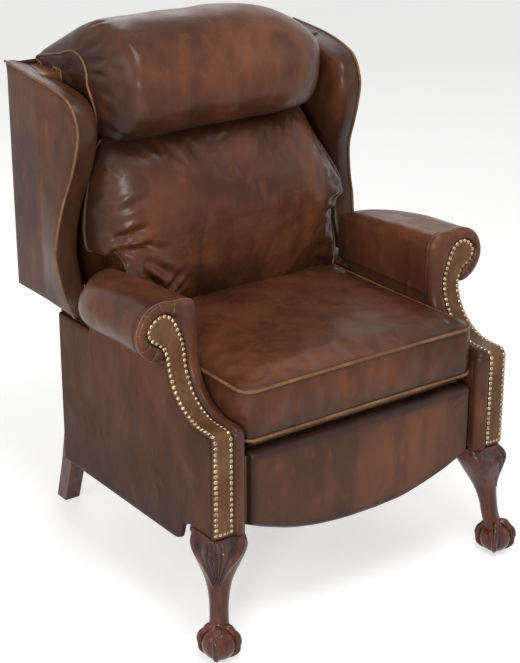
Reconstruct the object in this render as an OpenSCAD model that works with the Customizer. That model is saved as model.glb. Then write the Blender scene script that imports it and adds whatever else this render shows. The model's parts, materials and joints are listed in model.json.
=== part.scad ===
// High-leg wing recliner of the push-back kind: leather over a wooden frame, carved front legs,
// a back with wings that tilts, a seat that glides forward and a footrest on folding links.
// The chair faces -Y. +X is on the right of someone who stands in front and looks at it,
// and "left" and "right" in the names are that person's. +Z is up.
// Origin: on the floor, under the middle of the box that holds the chair.

/* [Overall] */
// Depth from the front toes to the rear feet
overall_d = 780; // [740:1:820]
// Width of an arm, from the seat to the outer panel
arm_w = 73; // [68:1:78]
// Height of an arm's body under the seat cushion
skirt_h = 168; // [160:1:175]
// How far the side aprons hang below the front posts
apron_drop = 47; // [35:1:55]

/* [Arms] */
// Height of a front post
post_h = 205; // [195:1:215]
// Radius of the sweep from the post back to the scroll
swoop_r = 110; // [95:1:120]
// Distance from the post's front to the face of the scroll
scroll_setback = 146; // [135:1:160]
// Radius of the rolled arm
scroll_r = 57; // [48:1:62]
// Height of the roll's centre over the underside of the seat cushion
scroll_rise = 188; // [180:1:195]
// Length of the rolled part of the arm
roll_l = 270; // [260:1:280]
// Distance from the outside back forward to the rear end of a side panel
panel_setback = 163; // [160:1:170]
// Thickness of a covered side panel
panel_t = 8; // [6:0.5:10]
// Width of the nailed facing strip
facing_w = 42; // [34:1:48]
// Radius of the facing's round head
facing_head_r = 32; // [28:1:38]

/* [Seat] */
// Height of the cushion's underside
seat_h = 408; // [402:1:414]
// Thickness of the seat cushion at its seams
cushion_t = 98; // [85:1:104]
// Rise of the cushion's crown over its seams
cushion_crown = 14; // [8:1:18]
// Gap between the seat cushion and the seam of the lumbar cushion, from front to back
cushion_back_gap = 3; // [2:0.5:12]
// Gap between the cushion and each arm
cushion_gap = 4; // [3:0.5:8]
// How far the seat glides forward
seat_travel = 50; // [40:1:60]

/* [Back] */
// Height of the outside back over the underside of the seat cushion
back_rise = 577; // [560:1:590]
// Depth of the hinge that the back tilts on, below the underside of the seat cushion
pivot_drop = 8; // [5:1:11]
// Distance from the outside back forward to that hinge
pivot_setback = 187; // [186:1:192]
// Height of the wings' lower edges over the underside of the seat cushion
wing_rise = 119; // [115:1:130]
// Reach of a wing forward of the outside back
wing_d = 278; // [255:1:290]
// Thickness of a padded wing
wing_t = 54; // [44:1:60]
// Height of the lumbar cushion
lumbar_h = 356; // [335:1:362]
// Bulge of the lumbar cushion forward of its edge
lumbar_crown = 102; // [80:1:110]
// Height of the head cushion's top over the outside back
head_rise = 101; // [90:1:112]

/* [Footrest] */
// Width of the footrest panel
rest_w = 540; // [520:1:544]
// Gap between the footrest panel and each arm
rest_play = 7; // [5:0.5:12]
// Gap between its top edge and the seat cushion when folded
rest_gap = 18; // [16:1:26]
// Height of the panel at its middle
rest_h = 207; // [195:1:212]
// Rise of the lower edge towards the posts
rest_rise = 59; // [45:1:65]
// Length of the first link from its pivot
drive_l = 175; // [170:1:180]
// Length of the second link
carry_l = 140; // [135:1:145]

/* [Legs] */
// Radius of the ball in the claw
ball_r = 33; // [28:1:36]
// Thickness of the talons over the ball
claw_t = 4; // [2:0.5:6]
// Half width of the knee at its widest
knee_r = 47; // [40:1:50]
// Radius of the ankle
ankle_r = 18; // [15:0.5:22]
// Side of a rear leg at the top
rear_leg_w = 38; // [32:1:42]

/* [Hidden] */

$fn = 48;
// Gap between soft parts and what they rest on
soft_gap = 0.3;
// Overrun of cuts
cut = 1;
// Reach of outlines beyond the part that is kept
over = 20;

// Places along Y
toe_reach = 40;
front_y = -overall_d / 2 + toe_reach;
back_face = overall_d / 2 - toe_reach;
scroll_y = front_y + scroll_setback;
roll_rear = scroll_y + roll_l;
panel_rear = back_face - panel_setback;
frame_rear = panel_rear - panel_t;
pivot_y = back_face - pivot_setback;
pillow_setback = 200;
pillow_y = back_face - pillow_setback;

// Places along X on the right side
inner_x = rest_w / 2 + rest_play;
side_x = inner_x + arm_w;
scroll_out = 1;
scroll_x = side_x + scroll_out;
facing_x1 = side_x;
facing_x0 = facing_x1 - facing_w;

// Places along Z
leg_h = seat_h - skirt_h;
apron_z = leg_h - apron_drop;
post_top = leg_h + post_h;
scroll_h = seat_h + scroll_rise;
pivot_h = seat_h - pivot_drop;
wing_z = seat_h + wing_rise;
back_h = seat_h + back_rise;
head_top = back_h + head_rise;
rest_top = seat_h - rest_gap;
rest_low = rest_top - rest_h;
wing_gap = 12;
arm_rear_top = wing_z - wing_gap;

// Wooden parts
wood_t = 22;
rail_h = 42;
inner_skin = 8;
frame_x0 = inner_x + inner_skin;
frame_x1 = side_x - panel_t;
base_inset = 15;
base_rail_x = inner_x - base_inset;
quarter_t = 7;
rail_x1 = base_rail_x - quarter_t;
rail_x0 = base_rail_x - rear_leg_w;
rear_step = 12;
rail_rear = back_face - rear_step;
base_top = apron_z + rail_h;

// Steel parts, as layers outwards from the seat frame
steel_t = 3;
layer = 4;
plate_inset = 49;
plate_x = inner_x - plate_inset;
cross_x = plate_x + layer;
drive_x = cross_x + layer;
guide_x = drive_x + layer;
carry_x = guide_x + layer;
bracket_x = carry_x + layer;
link_w = 18;
rivet_r = 4;
run_gap = 0.05;

// Link geometry, as distances along the links
link_setback = 88;
link_drop = 36;
link_y = front_y + link_setback;
link_z = seat_h - link_drop;
mid_l = 50;
cross_up = 72;

// Seat
seat_half = plate_x;
seat_rail_t = 28;
seat_rear_gap = 23;
seat_setback = 50;
seat_rear = pivot_y - seat_rear_gap;
seat_front = front_y + seat_setback;
deck_t = 8;
seat_rail_h = 60;
seat_rail_top = seat_h - deck_t;
seat_rail_z = seat_rail_top - seat_rail_h;
roller_r = 12.7;
roller_drop = 78;
roller_z = seat_h - roller_drop;
roller_in_front = 150;
roller_in_rear = 80;
roller_ys = [seat_front + roller_in_front, seat_rear - roller_in_rear];
roller_w = 14;
axle_r = 5;
channel_t = 4;
channel_play = 0.3;
channel_lip = 3;
channel_spare = 10;
channel_y0 = roller_ys[0] - seat_travel - roller_r - channel_spare;
channel_y1 = roller_ys[1] + roller_r + channel_spare;

// Back
stile_inset = 27;
stile_w = 45;
stile_x1 = inner_x - stile_inset;
stile_x0 = stile_x1 - stile_w;
outside_t = 14;
back_frame_d = 86;
frame_y1 = back_face - outside_t;
frame_y0 = frame_y1 - back_frame_d;
back_drop = 75;
back_low = pivot_h - back_drop;
back_rail_h = 50;
hinge_t = 4;
hinge_r = 8;
hinge_boss = 14;
hinge_edge = 12;
hinge_rise = 60;
pivot_arm_x = stile_x1;
hinge_space = 1.5;
pivot_post_x = pivot_arm_x + hinge_t + hinge_space;

// Plain helpers

// Box from one corner to the opposite one
module box(a, b) { translate(a) cube(b - a); }

// Outline drawn in X and Z, carried from y0 to y1
module along_y(y0, y1) {
    translate([0, y1, 0]) rotate([90, 0, 0]) linear_extrude(y1 - y0) children();
}

// Outline drawn in Y and Z, carried from x0 to x1
module along_x(x0, x1) {
    translate([x0, 0, 0]) rotate([90, 0, 90]) linear_extrude(x1 - x0) children();
}

// Rod along X
module rod_x(x0, x1, r, y, z) {
    translate([x0, y, z]) rotate([0, 90, 0]) cylinder(h = x1 - x0, r = r);
}

module on_left() { mirror([1, 0, 0]) children(); }

// Turn of an outline about a point
module rotate_about(x, y, angle) { translate([x, y]) rotate(angle) translate([-x, -y]) children(); }

// Closed skin over rings of points that run counter-clockwise as seen from the last ring
module skin(rings, hubs = []) {
    n = len(rings[0]);
    m = len(rings);
    sides = [for (j = [0:m - 2], i = [0:n - 1])
        let (a = j * n + i, b = j * n + (i + 1) % n, c = a + n, d = b + n)
        each [[a, c, d], [a, d, b]]];
    first = m * n;
    caps = [for (i = [0:n - 1]) let (k = (i + 1) % n)
        each [[first, i, k], [first + 1, (m - 1) * n + k, (m - 1) * n + i]]];
    ends = len(hubs) == 2 ? hubs : [middle(rings[0]), middle(rings[m - 1])];
    polyhedron(points = concat([for (r = rings) each r], ends),
               faces = concat(sides, caps), convexity = 6);
}

function middle(r) = [for (k = [0:2]) let (v = [for (p = r) p[k]]) (min(v) + max(v)) / 2];

function sgn(v) = v < 0 ? -1 : 1;

// Point of a superellipse with half sizes a, b at angle t
function super_pt(a, b, n, t) =
    [a * sgn(cos(t)) * pow(abs(cos(t)), 2 / n), b * sgn(sin(t)) * pow(abs(sin(t)), 2 / n)];

// Rounded rectangle whose sides are drawn in between the corners, counter-clockwise
function soft_rect(hx, hy, r, draw_x, draw_y, side_n, arc_n) = [
    for (k = [0:3])
        let (flip = k % 2 == 1, h = flip ? hy : hx, w = flip ? hx : hy, d = flip ? draw_y : draw_x)
        each [for (i = [0:side_n + arc_n - 1])
            let (p = i < side_n
                ? let (u = -(w - r) + 2 * (w - r) * i / side_n) [h - d * (1 - pow(u / (w - r), 2)), u]
                : let (t = 90 * (i - side_n) / arc_n) [h - r + r * cos(t), w - r + r * sin(t)])
            [p.x * cos(90 * k) - p.y * sin(90 * k), p.x * sin(90 * k) + p.y * cos(90 * k)]]
];

// Front edge of the arm in Y and Z: up the post, round its top, back and up the sweep
corner_r = 13;
front_pad_t = 11.7;
function arm_front_pts(off) = concat(
    [[front_y - off, leg_h], [front_y - off, post_top - corner_r]],
    [for (t = [15:15:90]) [front_y + corner_r - (corner_r + off) * cos(t),
                           post_top - corner_r + (corner_r + off) * sin(t)]],
    [for (t = [0:10:90]) [scroll_y - swoop_r + (swoop_r - off) * sin(t),
                          post_top + swoop_r - (swoop_r - off) * cos(t)]],
    [[scroll_y - off, scroll_h + scroll_r]]);

// Band that follows that edge
module front_band(outer, inner) {
    polygon(concat(arm_front_pts(outer), [for (i = [len(arm_front_pts(inner)) - 1:-1:0]) arm_front_pts(inner)[i]]));
}

// Legs

// Share of the leg's height, share of the way from ball to post, half size, squareness, talon share
function leg_rows() = [
    [0.000, 0.00, ball_r * 0.42, 2.0, 0], [0.018, 0.00, ball_r * 0.66, 2.0, 0.3],
    [0.055, 0.00, ball_r * 0.88, 2.0, 0.9], [0.100, 0.00, ball_r * 0.98, 2.0, 1],
    [0.145, 0.00, ball_r, 2.0, 1], [0.195, 0.01, ball_r * 0.95, 2.0, 1.1],
    [0.245, 0.05, ball_r * 0.78, 2.0, 1.2], [0.280, 0.12, ball_r * 0.62, 2.0, 1.1],
    [0.310, 0.20, ankle_r * 1.02, 2.0, 0.5], [0.370, 0.27, ankle_r, 2.0, 0],
    [0.450, 0.33, ankle_r * 1.03, 2.0, 0], [0.540, 0.42, ankle_r * 1.13, 2.0, 0],
    [0.630, 0.52, ankle_r * 1.36, 2.1, 0], [0.710, 0.60, knee_r * 0.66, 2.4, 0],
    [0.790, 0.66, knee_r * 0.84, 2.8, 0], [0.870, 0.72, knee_r * 0.98, 3.2, 0],
    [0.925, 0.80, knee_r * 0.97, 3.8, 0], [0.970, 0.92, knee_r * 0.86, 5.0, 0],
    [1.000, 1.00, (side_x - inner_x) / 2, 9.0, 0]];

ball_x = side_x - 5;
ball_y = -overall_d / 2 + ball_r;
post_mid = (side_x - inner_x) / 2;
leg_sides = 32;
// Rolled ends of the brackets beside the knee
volute_r = 12;
volute_w = 30;
volute_in = 3;
bracket_run = 20;

module front_leg_shape() {
    dx = side_x - post_mid - ball_x;
    dy = front_y + post_mid - ball_y;
    skin([for (row = leg_rows())
        [for (i = [0:leg_sides - 1])
            let (t = 360 * i / leg_sides,
                 p = super_pt(row[2], row[2], row[3], t),
                 claw = claw_t * row[4] * pow(max(0, cos(4 * (t + 45))), 2))
            [ball_x + dx * row[1] + p.x + claw * cos(t), ball_y + dy * row[1] + p.y + claw * sin(t),
             leg_h * row[0]]]]);
    // Bracket towards the rear, beside the side panel
    side_y = front_y + 2 * post_mid;
    bracket_x1 = frame_x1 - soft_gap;
    along_x(bracket_x1 - volute_w, bracket_x1) {
        polygon([[side_y - bracket_run, leg_h], [side_y + bracket_run - volute_r, leg_h],
            [side_y + bracket_run - 2 * volute_r, leg_h - 2 * volute_r], [side_y - bracket_run, leg_h - 3 * volute_r]]);
        translate([side_y + bracket_run - volute_r, leg_h - volute_r]) circle(r = volute_r);
    }
    // Bracket towards the middle, beside the footrest
    along_y(front_y + volute_in, front_y + volute_in + volute_w)
        translate([inner_x + volute_r, leg_h - volute_r]) circle(r = volute_r);
}

module front_leg_right() { color([0.23, 0.09, 0.05]) front_leg_shape(); }
module front_leg_left() { color([0.23, 0.09, 0.05]) on_left() front_leg_shape(); }

rear_leg_taper = 2;
rear_leg_lean = 28;
// Distances of a rear leg's front face behind the origin, at the top, half way and at the foot
rear_leg_ys = [rail_rear - rear_leg_w, back_face - rear_leg_lean, overall_d / 2 - rear_leg_w + rear_leg_taper];

module rear_leg_shape() {
    w = rear_leg_w;
    skin([for (k = [2:-1:0])
        let (y = rear_leg_ys[k], z = apron_z * (2 - k) / 2, i = rear_leg_taper * k / 2,
             d = k == 2 ? w - rear_leg_taper : w)
        [[base_rail_x - w + i, y, z], [base_rail_x - i, y, z],
         [base_rail_x - i, y + d, z], [base_rail_x - w + i, y + d, z]]]);
}

module rear_leg_right() { color([0.23, 0.09, 0.05]) rear_leg_shape(); }
module rear_leg_left() { color([0.23, 0.09, 0.05]) on_left() rear_leg_shape(); }

// Arms

post_wood = 46;
post_drop = 14;
upright_w = 45;
top_rail_h = 60;
// Room for the padding in front of the wood
pad_room = 12;

module arm_frame_shape() {
    x0 = frame_x0;
    x1 = frame_x1;
    y0 = front_y + pad_room;
    y2 = scroll_y + pad_room;
    top = scroll_h;
    difference() {
        union() {
            // Front post, bottom rail, scroll upright, rear post, two upper rails
            box([x0, y0, leg_h], [x1, y0 + post_wood, post_top - post_drop]);
            box([x0, y0, leg_h], [x1, frame_rear, leg_h + rail_h]);
            box([x0, y2, leg_h], [x1, y2 + upright_w, top]);
            box([x0, frame_rear - upright_w, leg_h], [x1, frame_rear, arm_rear_top - panel_t]);
            box([x0, y2, arm_rear_top - panel_t - rail_h], [x1, frame_rear, arm_rear_top - panel_t]);
            box([x0, y2, top - top_rail_h], [x1, roll_rear - end_cap - soft_gap, top]);
        }
        // Dowel holes through the bottom rail where the cross rails come in
        for (y = [cross_front, cross_rear]) rod_x(x0 - cut, x0 + wood_t, dowel_r + run_gap, y, dowel_z);
    }
}

cross_setback = 130;
cross_front = front_y + cross_setback;
cross_rear_in = 20;
cross_rear = seat_rear - cross_rear_in;
cross_t = 24;
dowel_r = 6;
dowel_z = leg_h + rail_h / 2;
dowel_l = 16;

module arm_frame_right() { color([0.76, 0.62, 0.42]) arm_frame_shape(); }
module arm_frame_left() { color([0.76, 0.62, 0.42]) on_left() arm_frame_shape(); }

// Outer panel: front edge follows the post and the sweep, lower edge dips behind the leg
module side_panel_shape() {
    knee_y = front_y + 2 * post_mid;
    ogee = 30;
    along_x(frame_x1, side_x) polygon(concat(
            [for (p = arm_front_pts(0)) if (p.y < scroll_h - scroll_r) p],
            [[scroll_y, scroll_h - scroll_r], [roll_rear, scroll_h - scroll_r], [roll_rear, arm_rear_top],
             [panel_rear, arm_rear_top], [panel_rear, apron_z], [knee_y + 2 * ogee, apron_z]],
            [for (t = [0:15:90]) [knee_y + 2 * ogee - ogee * sin(t), apron_z + apron_drop / 2 * (1 - cos(t))]],
            [for (t = [75:-15:0]) [knee_y + ogee * sin(t), leg_h - apron_drop / 2 * (1 - cos(t))]]));
    // Return across the rear end of the arm, as far as the base
    box([base_rail_x, frame_rear, apron_z], [side_x, panel_rear, arm_rear_top]);
}

module side_panel_right() { color([0.30, 0.17, 0.11]) side_panel_shape(); }
module side_panel_left() { color([0.30, 0.17, 0.11]) on_left() side_panel_shape(); }

shoulder_r = 35;
shoulder_step = 2;
shoulder_top = scroll_h + scroll_r - shoulder_step;
pad_depth = 43;
pad_low = seat_h - pad_depth;
// Thickness of the closed rear end of a roll
end_cap = 3.5;

// Upper outline of the rolled arm in X and Z, from its underside outwards, over the top and down the inner shoulder
function roll_pts() = let (low = -asin((scroll_x - frame_x1) / scroll_r) - 90, high = 90 + acos((shoulder_top - scroll_h) / scroll_r))
    concat([for (i = [0:24]) let (t = low + (high - low) * i / 24) [scroll_x + scroll_r * cos(t), scroll_h + scroll_r * sin(t)]],
           [for (t = [90:15:180]) [inner_x + shoulder_r + shoulder_r * cos(t), shoulder_top - shoulder_r + shoulder_r * sin(t)]],
           [[inner_x, pad_low]]);

roll_round_l = 130;
roll_reach = 25;
// Outline of the roll from above: straight, then a quarter of an ellipse at its rear end
module roll_plan() {
    y0 = roll_rear - roll_round_l;
    polygon(concat([[inner_x - over, scroll_y - over], [scroll_x + scroll_r + over, scroll_y - over],
                    [scroll_x + scroll_r + over, y0]],
        [for (t = [0:9:90]) [inner_x + (scroll_x + scroll_r - inner_x) * cos(t), y0 + (roll_round_l + roll_reach) * sin(t)]],
        [[inner_x - over, y0 + roll_round_l + roll_reach]]));
}

module arm_pad_shape() {
    x0 = frame_x0 - soft_gap;
    intersection() {
        translate([0, 0, pad_low - over]) linear_extrude(shoulder_top - pad_low + 2 * over) roll_plan();
        union() {
            // Roll, hollow over the frame
            along_y(scroll_y + front_pad_t + soft_gap, roll_rear - end_cap) polygon(concat(roll_pts(),
                [[x0, pad_low], [x0, scroll_h + soft_gap], [frame_x1, scroll_h + soft_gap]]));
            // Closed rear end of the roll
            along_y(roll_rear - end_cap, roll_rear + roll_reach) polygon(concat(roll_pts(),
                [[x0, pad_low], [x0, arm_rear_top - panel_t + soft_gap], [frame_x1, arm_rear_top - panel_t + soft_gap]]));
        }
    }
    // Inner side and top behind the roll, under the wing
    along_y(roll_rear, frame_rear - soft_gap) polygon([
        [inner_x, pad_low], [x0, pad_low], [x0, arm_rear_top - panel_t + soft_gap],
        [frame_x1 - soft_gap, arm_rear_top - panel_t + soft_gap], [frame_x1 - soft_gap, arm_rear_top],
        [inner_x, arm_rear_top]]);
}

module arm_pad_right() { color([0.33, 0.18, 0.11]) arm_pad_shape(); }
module arm_pad_left() { color([0.33, 0.18, 0.11]) on_left() arm_pad_shape(); }

// Padded front edge of the arm: the face of the scroll, the sweep and the post
module arm_front_shape() {
    intersection() {
        along_x(inner_x, scroll_x + scroll_r) front_band(0, -front_pad_t);
        along_y(front_y - over, scroll_y + over) {
            translate([scroll_x, scroll_h]) circle(r = scroll_r);
            translate([inner_x + shoulder_r, shoulder_top - shoulder_r]) circle(r = shoulder_r);
            translate([inner_x, leg_h]) square([frame_x1 - inner_x, shoulder_top - shoulder_r - leg_h]);
            translate([inner_x + shoulder_r, shoulder_top - 2 * shoulder_r])
                square([scroll_x - inner_x - shoulder_r, 2 * shoulder_r]);
        }
    }
    // Inner side of the post, below the sweep
    along_x(inner_x, frame_x0 - soft_gap) polygon(concat(
        [for (p = arm_front_pts(-front_pad_t)) if (p.y < scroll_h - scroll_r) p],
        [[scroll_y + front_pad_t, scroll_h - scroll_r], [scroll_y + front_pad_t, pad_low],
         [cross_front - cross_t / 2 - soft_gap, pad_low], [cross_front - cross_t / 2 - soft_gap, leg_h]]));
}

module arm_front_right() { color([0.28, 0.16, 0.11]) arm_front_shape(); }
module arm_front_left() { color([0.28, 0.16, 0.11]) on_left() arm_front_shape(); }

facing_t = 3;
facing_head_drop = 14;
facing_foot = 6;

// Facing: a keyhole outline laid over the padded front edge
module arm_facing_shape() {
    intersection() {
        along_x(inner_x, scroll_x + scroll_r) front_band(facing_t, 0);
        along_y(front_y - over, scroll_y + over) {
            translate([scroll_x, scroll_h - facing_head_drop]) circle(r = facing_head_r);
            translate([facing_x0, leg_h + facing_foot])
                square([facing_w, scroll_h - facing_head_drop - leg_h - facing_foot]);
        }
    }
}

module arm_facing_right() { color([0.45, 0.25, 0.14]) arm_facing_shape(); }
module arm_facing_left() { color([0.45, 0.25, 0.14]) on_left() arm_facing_shape(); }

// Base

module base_rails() {
    color([0.76, 0.62, 0.42]) {
        for (s = [-1, 1]) {
            // Side rails from the front cross rail to the rear
            box([s > 0 ? rail_x0 : -rail_x1, cross_front - cross_t / 2, apron_z],
                [s > 0 ? rail_x1 : -rail_x0, rail_rear, base_top]);
        }
        box([-rail_x0, rail_rear - wood_t, apron_z], [rail_x0, rail_rear, base_top]);
        for (y = [cross_front, cross_rear]) {
            // Cross rails over the side rails, with dowels into the arm frames
            box([-frame_x0, y - cross_t / 2, base_top], [frame_x0, y + cross_t / 2, base_top + rail_h]);
            rod_x(-frame_x0 - dowel_l, frame_x0 + dowel_l, dowel_r, y, dowel_z);
        }
    }
}

// Covered panel on the side of the base behind the arm
module quarter_panel_shape() {
    color([0.26, 0.15, 0.10]) box([rail_x1, frame_rear, apron_z], [base_rail_x, rail_rear + quarter_t, quarter_top]);
}

quarter_rise = 17;
quarter_top = seat_h + quarter_rise;
apron_lap = 10;

module quarter_panel_right() { quarter_panel_shape(); }
module quarter_panel_left() { on_left() quarter_panel_shape(); }

module rear_apron() {
    color([0.26, 0.15, 0.10]) box([-rail_x1, rail_rear, apron_z], [rail_x1, rail_rear + quarter_t, base_top + apron_lap]);
}

block = 30;

// Corner blocks glued inside the rails
module glue_blocks() {
    color([0.70, 0.55, 0.36]) {
        for (s = [-1, 1]) {
            x = s * rail_x0;
            y = rail_rear - wood_t;
            translate([0, 0, apron_z]) linear_extrude(rail_h) polygon([[x, y], [x - s * block, y], [x, y - block]]);
        }
    }
}

// Channel that the seat's rollers run in, on the inside of an arm frame
module glide_rail_shape() {
    h = 2 * (roller_r + channel_play);
    w = roller_w + channel_lip;
    color([0.35, 0.36, 0.38]) along_y(channel_y0, channel_y1) difference() {
        translate([frame_x0 - channel_t - w, roller_z - h / 2 - channel_t])
            square([channel_t + w, h + 2 * channel_t]);
        translate([frame_x0 - channel_t - w - cut, roller_z - h / 2]) square([w + cut, h]);
    }
}

module glide_rail_right() { glide_rail_shape(); }
module glide_rail_left() { on_left() glide_rail_shape(); }

// Steel post on a side rail, with the pin that the back turns on
module hinge_post_shape() {
    foot = 30;
    strap = hinge_boss + 1;
    color([0.35, 0.36, 0.38]) {
        along_x(pivot_post_x, pivot_post_x + hinge_t) {
            translate([pivot_y, pivot_h]) circle(r = strap);
            translate([pivot_y - strap, base_top]) square([2 * strap, pivot_h - base_top]);
        }
        box([rail_x0 + hinge_t, pivot_y - foot / 2, base_top],
            [pivot_post_x, pivot_y + foot / 2, base_top + hinge_t]);
        rod_x(pivot_arm_x, pivot_post_x, hinge_r, pivot_y, pivot_h);
    }
}

module hinge_post_right() { hinge_post_shape(); }
module hinge_post_left() { on_left() hinge_post_shape(); }

// Seat

module seat_frame() {
    x1 = seat_half;
    x0 = x1 - seat_rail_t;
    color([0.76, 0.62, 0.42]) difference() {
        union() {
            for (s = [-1, 1]) box([s > 0 ? x0 : -x1, seat_front, seat_rail_z], [s > 0 ? x1 : -x0, seat_rear, seat_rail_top]);
            box([-x0, seat_front, seat_rail_z], [x0, seat_front + wood_t, seat_rail_top]);
            box([-x0, seat_rear - wood_t, seat_rail_z], [x0, seat_rear, seat_rail_top]);
        }
        // Clearance holes for the torque tube
        rod_x(-x1 - cut, x1 + cut, tube_r + tube_play, link_y, link_z);
    }
}

tube_r = 8;
tube_play = 2;
tube_wall = 2;
wire_r = 2;
spring_n = 4;
spring_loops = 9;
spring_amp = 24;
spring_sag = 5.4;
wire_sides = 5;

// Centre line of a sinuous spring, as shares of its run
function wire_at(x, u) = [x + spring_amp * sin(360 * spring_loops * u),
    seat_front + wood_t / 2 + (seat_rear - seat_front - wood_t) * u,
    seat_rail_top + wire_r - spring_sag * sin(180 * u)];

module spring_wire(x) {
    n = spring_loops * 6;
    skin([for (j = [0:n])
        let (u = j / n, p = wire_at(x, u), q = wire_at(x, u + 0.25 / n) - wire_at(x, u - 0.25 / n),
             t = q / norm(q), side = cross(t, [0, 0, 1]) / norm(cross(t, [0, 0, 1])), up = cross(side, t))
        [for (k = [wire_sides - 1:-1:0]) let (t5 = 360 * k / wire_sides)
            p + wire_r * (cos(t5) * side + sin(t5) * up)]]);
}

module seat_springs() {
    pitch = 2 * (seat_half - seat_rail_t) / spring_n;
    color([0.45, 0.45, 0.48]) for (i = [0:spring_n - 1])
        spring_wire(-seat_half + seat_rail_t + pitch * (i + 0.5));
}

// Covered deck that the cushion lies on
module seat_deck() {
    color([0.16, 0.12, 0.10]) difference() {
        box([-seat_half, seat_front - deck_lap, seat_h - deck_t], [seat_half, seat_rear, seat_h - soft_gap]);
        // Hollow for the springs
        box([-seat_half + seat_rail_t + wire_r, seat_front + 2 * deck_lap, seat_h - deck_t - cut],
            [seat_half - seat_rail_t - wire_r, seat_rear - 2 * deck_lap, seat_rail_top + 2 * wire_r + soft_gap]);
    }
}

deck_lap = 2;
cushion_r = 26;
draw_in = 8;
cushion_setback = 7;
belly = 2.5;

// Boxed cushion: flat below, crowned above, sides drawn in and bellied between the two seams
module seat_cushion() {
    hx = inner_x - cushion_gap;
    hy = (pillow_y - cushion_back_gap - front_y - cushion_setback) / 2;
    mid_y = front_y + cushion_setback + hy;
    rows = [[0.55, 0, 0], [0.97, 0, 0], [1, 0, 3], [1, belly, cushion_t * 0.35], [1, belly, cushion_t * 0.65],
            [1, 0, cushion_t - 3], [0.975, 0, cushion_t], [0.86, 0, cushion_t + cushion_crown * 0.45],
            [0.66, 0, cushion_t + cushion_crown * 0.8], [0.38, 0, cushion_t + cushion_crown]];
    color([0.30, 0.17, 0.11]) skin([for (row = rows)
        [for (p = soft_rect(hx - belly + row[1], hy - belly + row[1], cushion_r, draw_in, draw_in + 2, 6, 5))
            [p.x * row[0], mid_y + p.y * row[0], seat_h + row[2]]]]);
}

// Steel side plate of the seat: tube bore, slot for the cross link, axle holes
module link_plate_shape() {
    edge = 16;
    slot_end = 12;
    rise = 44;
    roller_edge = 22;
    slot_low = link_z - 2 * mid_l;
    slot_high = link_z - 2 * mid_l * cos(rest_angle);
    color([0.42, 0.43, 0.45]) difference() {
        along_x(plate_x, plate_x + steel_t) difference() {
            polygon([[link_y - edge, slot_low - slot_end], [link_y + edge, slot_low - slot_end],
                     [link_y + rise, roller_z - roller_edge], [roller_ys[1] + roller_edge, roller_z - roller_edge],
                     [roller_ys[1] + roller_edge, seat_rail_top], [link_y - edge, seat_rail_top]]);
            translate([link_y - rivet_r - slot_play, slot_low]) square([2 * (rivet_r + slot_play), slot_high - slot_low]);
            for (z = [slot_low, slot_high]) translate([link_y, z]) circle(r = rivet_r + slot_play);
        }
        rod_x(plate_x - cut, plate_x + layer, tube_r + run_gap, link_y, link_z);
        for (y = roller_ys) rod_x(plate_x - cut, plate_x + layer, axle_r, y, roller_z);
    }
}

rest_angle = 75;
slot_play = 0.5;

module link_plate_right() { link_plate_shape(); }
module link_plate_left() { on_left() link_plate_shape(); }

// Rollers on stub axles through the side plates
module glide_rollers() {
    color([0.85, 0.84, 0.80]) for (s = [0, 1], y = roller_ys) mirror([s, 0, 0]) {
        x1 = frame_x0 - channel_t - channel_lip / 3;
        rod_x(x1 - roller_w, x1, roller_r, y, roller_z);
        rod_x(plate_x, x1 - roller_w, axle_r, y, roller_z);
    }
}

// Links of the footrest, folded straight up and down

// Straight link with eyes at the given heights
module link_bar(x, z_low, z_high) {
    along_x(x, x + steel_t) {
        for (z = [z_low, z_high]) translate([link_y, z]) circle(r = link_w / 2);
        translate([link_y - link_w / 2, z_low]) square([link_w, z_high - z_low]);
    }
}

drive_end = link_z - drive_l;
mid_z = link_z - mid_l;
cross_top = mid_z + cross_up;
guide_end = cross_top - (drive_l - mid_l);
carry_top = drive_end + carry_l;

module drive_link_shape() {
    color([0.50, 0.51, 0.53]) difference() {
        link_bar(drive_x, drive_end, link_z);
        for (z = [drive_end, mid_z]) rod_x(drive_x - cut, drive_x + layer, rivet_r + run_gap, link_y, z);
        rod_x(drive_x - cut, drive_x + layer, tube_r, link_y, link_z);
    }
}

module drive_link_right() { drive_link_shape(); }
module drive_link_left() { on_left() drive_link_shape(); }

// Tube that ties the two drive links
module torque_tube() {
    color([0.50, 0.51, 0.53]) difference() {
        rod_x(-drive_x - steel_t, drive_x + steel_t, tube_r, link_y, link_z);
        rod_x(-drive_x - layer, drive_x + layer, tube_r - tube_wall, link_y, link_z);
    }
}

// Cross link: bowed forward round the tube, with its rivets to the plate's slot, the drive link and the guide link
module cross_link_shape() {
    half = link_w / 2;
    free_r = tube_r + tube_play;
    bow = free_r + half + 1;
    color([0.46, 0.47, 0.49]) {
        along_x(cross_x, cross_x + steel_t) difference() {
            union() {
                for (z = [link_z - 2 * mid_l, mid_z, cross_top]) translate([link_y, z]) circle(r = half);
                translate([link_y - half, link_z - 2 * mid_l]) square([link_w, mid_l]);
                polygon([[link_y + half, mid_z], [link_y - half, mid_z - half], [link_y - bow - half, link_z - half],
                         [link_y - bow - half, link_z + half], [link_y - half, cross_top + half * 0.9],
                         [link_y + half * 0.6, cross_top - half * 0.8]]);
            }
            // Room for the tube while the link swings
            translate([link_y, link_z]) circle(r = free_r);
            translate([link_y, link_z - free_r]) square([link_w, 2 * free_r]);
            rotate_about(link_y, mid_z, -20) translate([link_y, link_z]) circle(r = free_r);
        }
        rod_x(plate_x + run_gap, cross_x, rivet_r, link_y, link_z - 2 * mid_l);
        rod_x(cross_x + steel_t, drive_x + steel_t, rivet_r, link_y, mid_z);
        rod_x(cross_x + steel_t, guide_x + steel_t, rivet_r, link_y, cross_top);
    }
}

module cross_link_right() { cross_link_shape(); }
module cross_link_left() { on_left() cross_link_shape(); }

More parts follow.
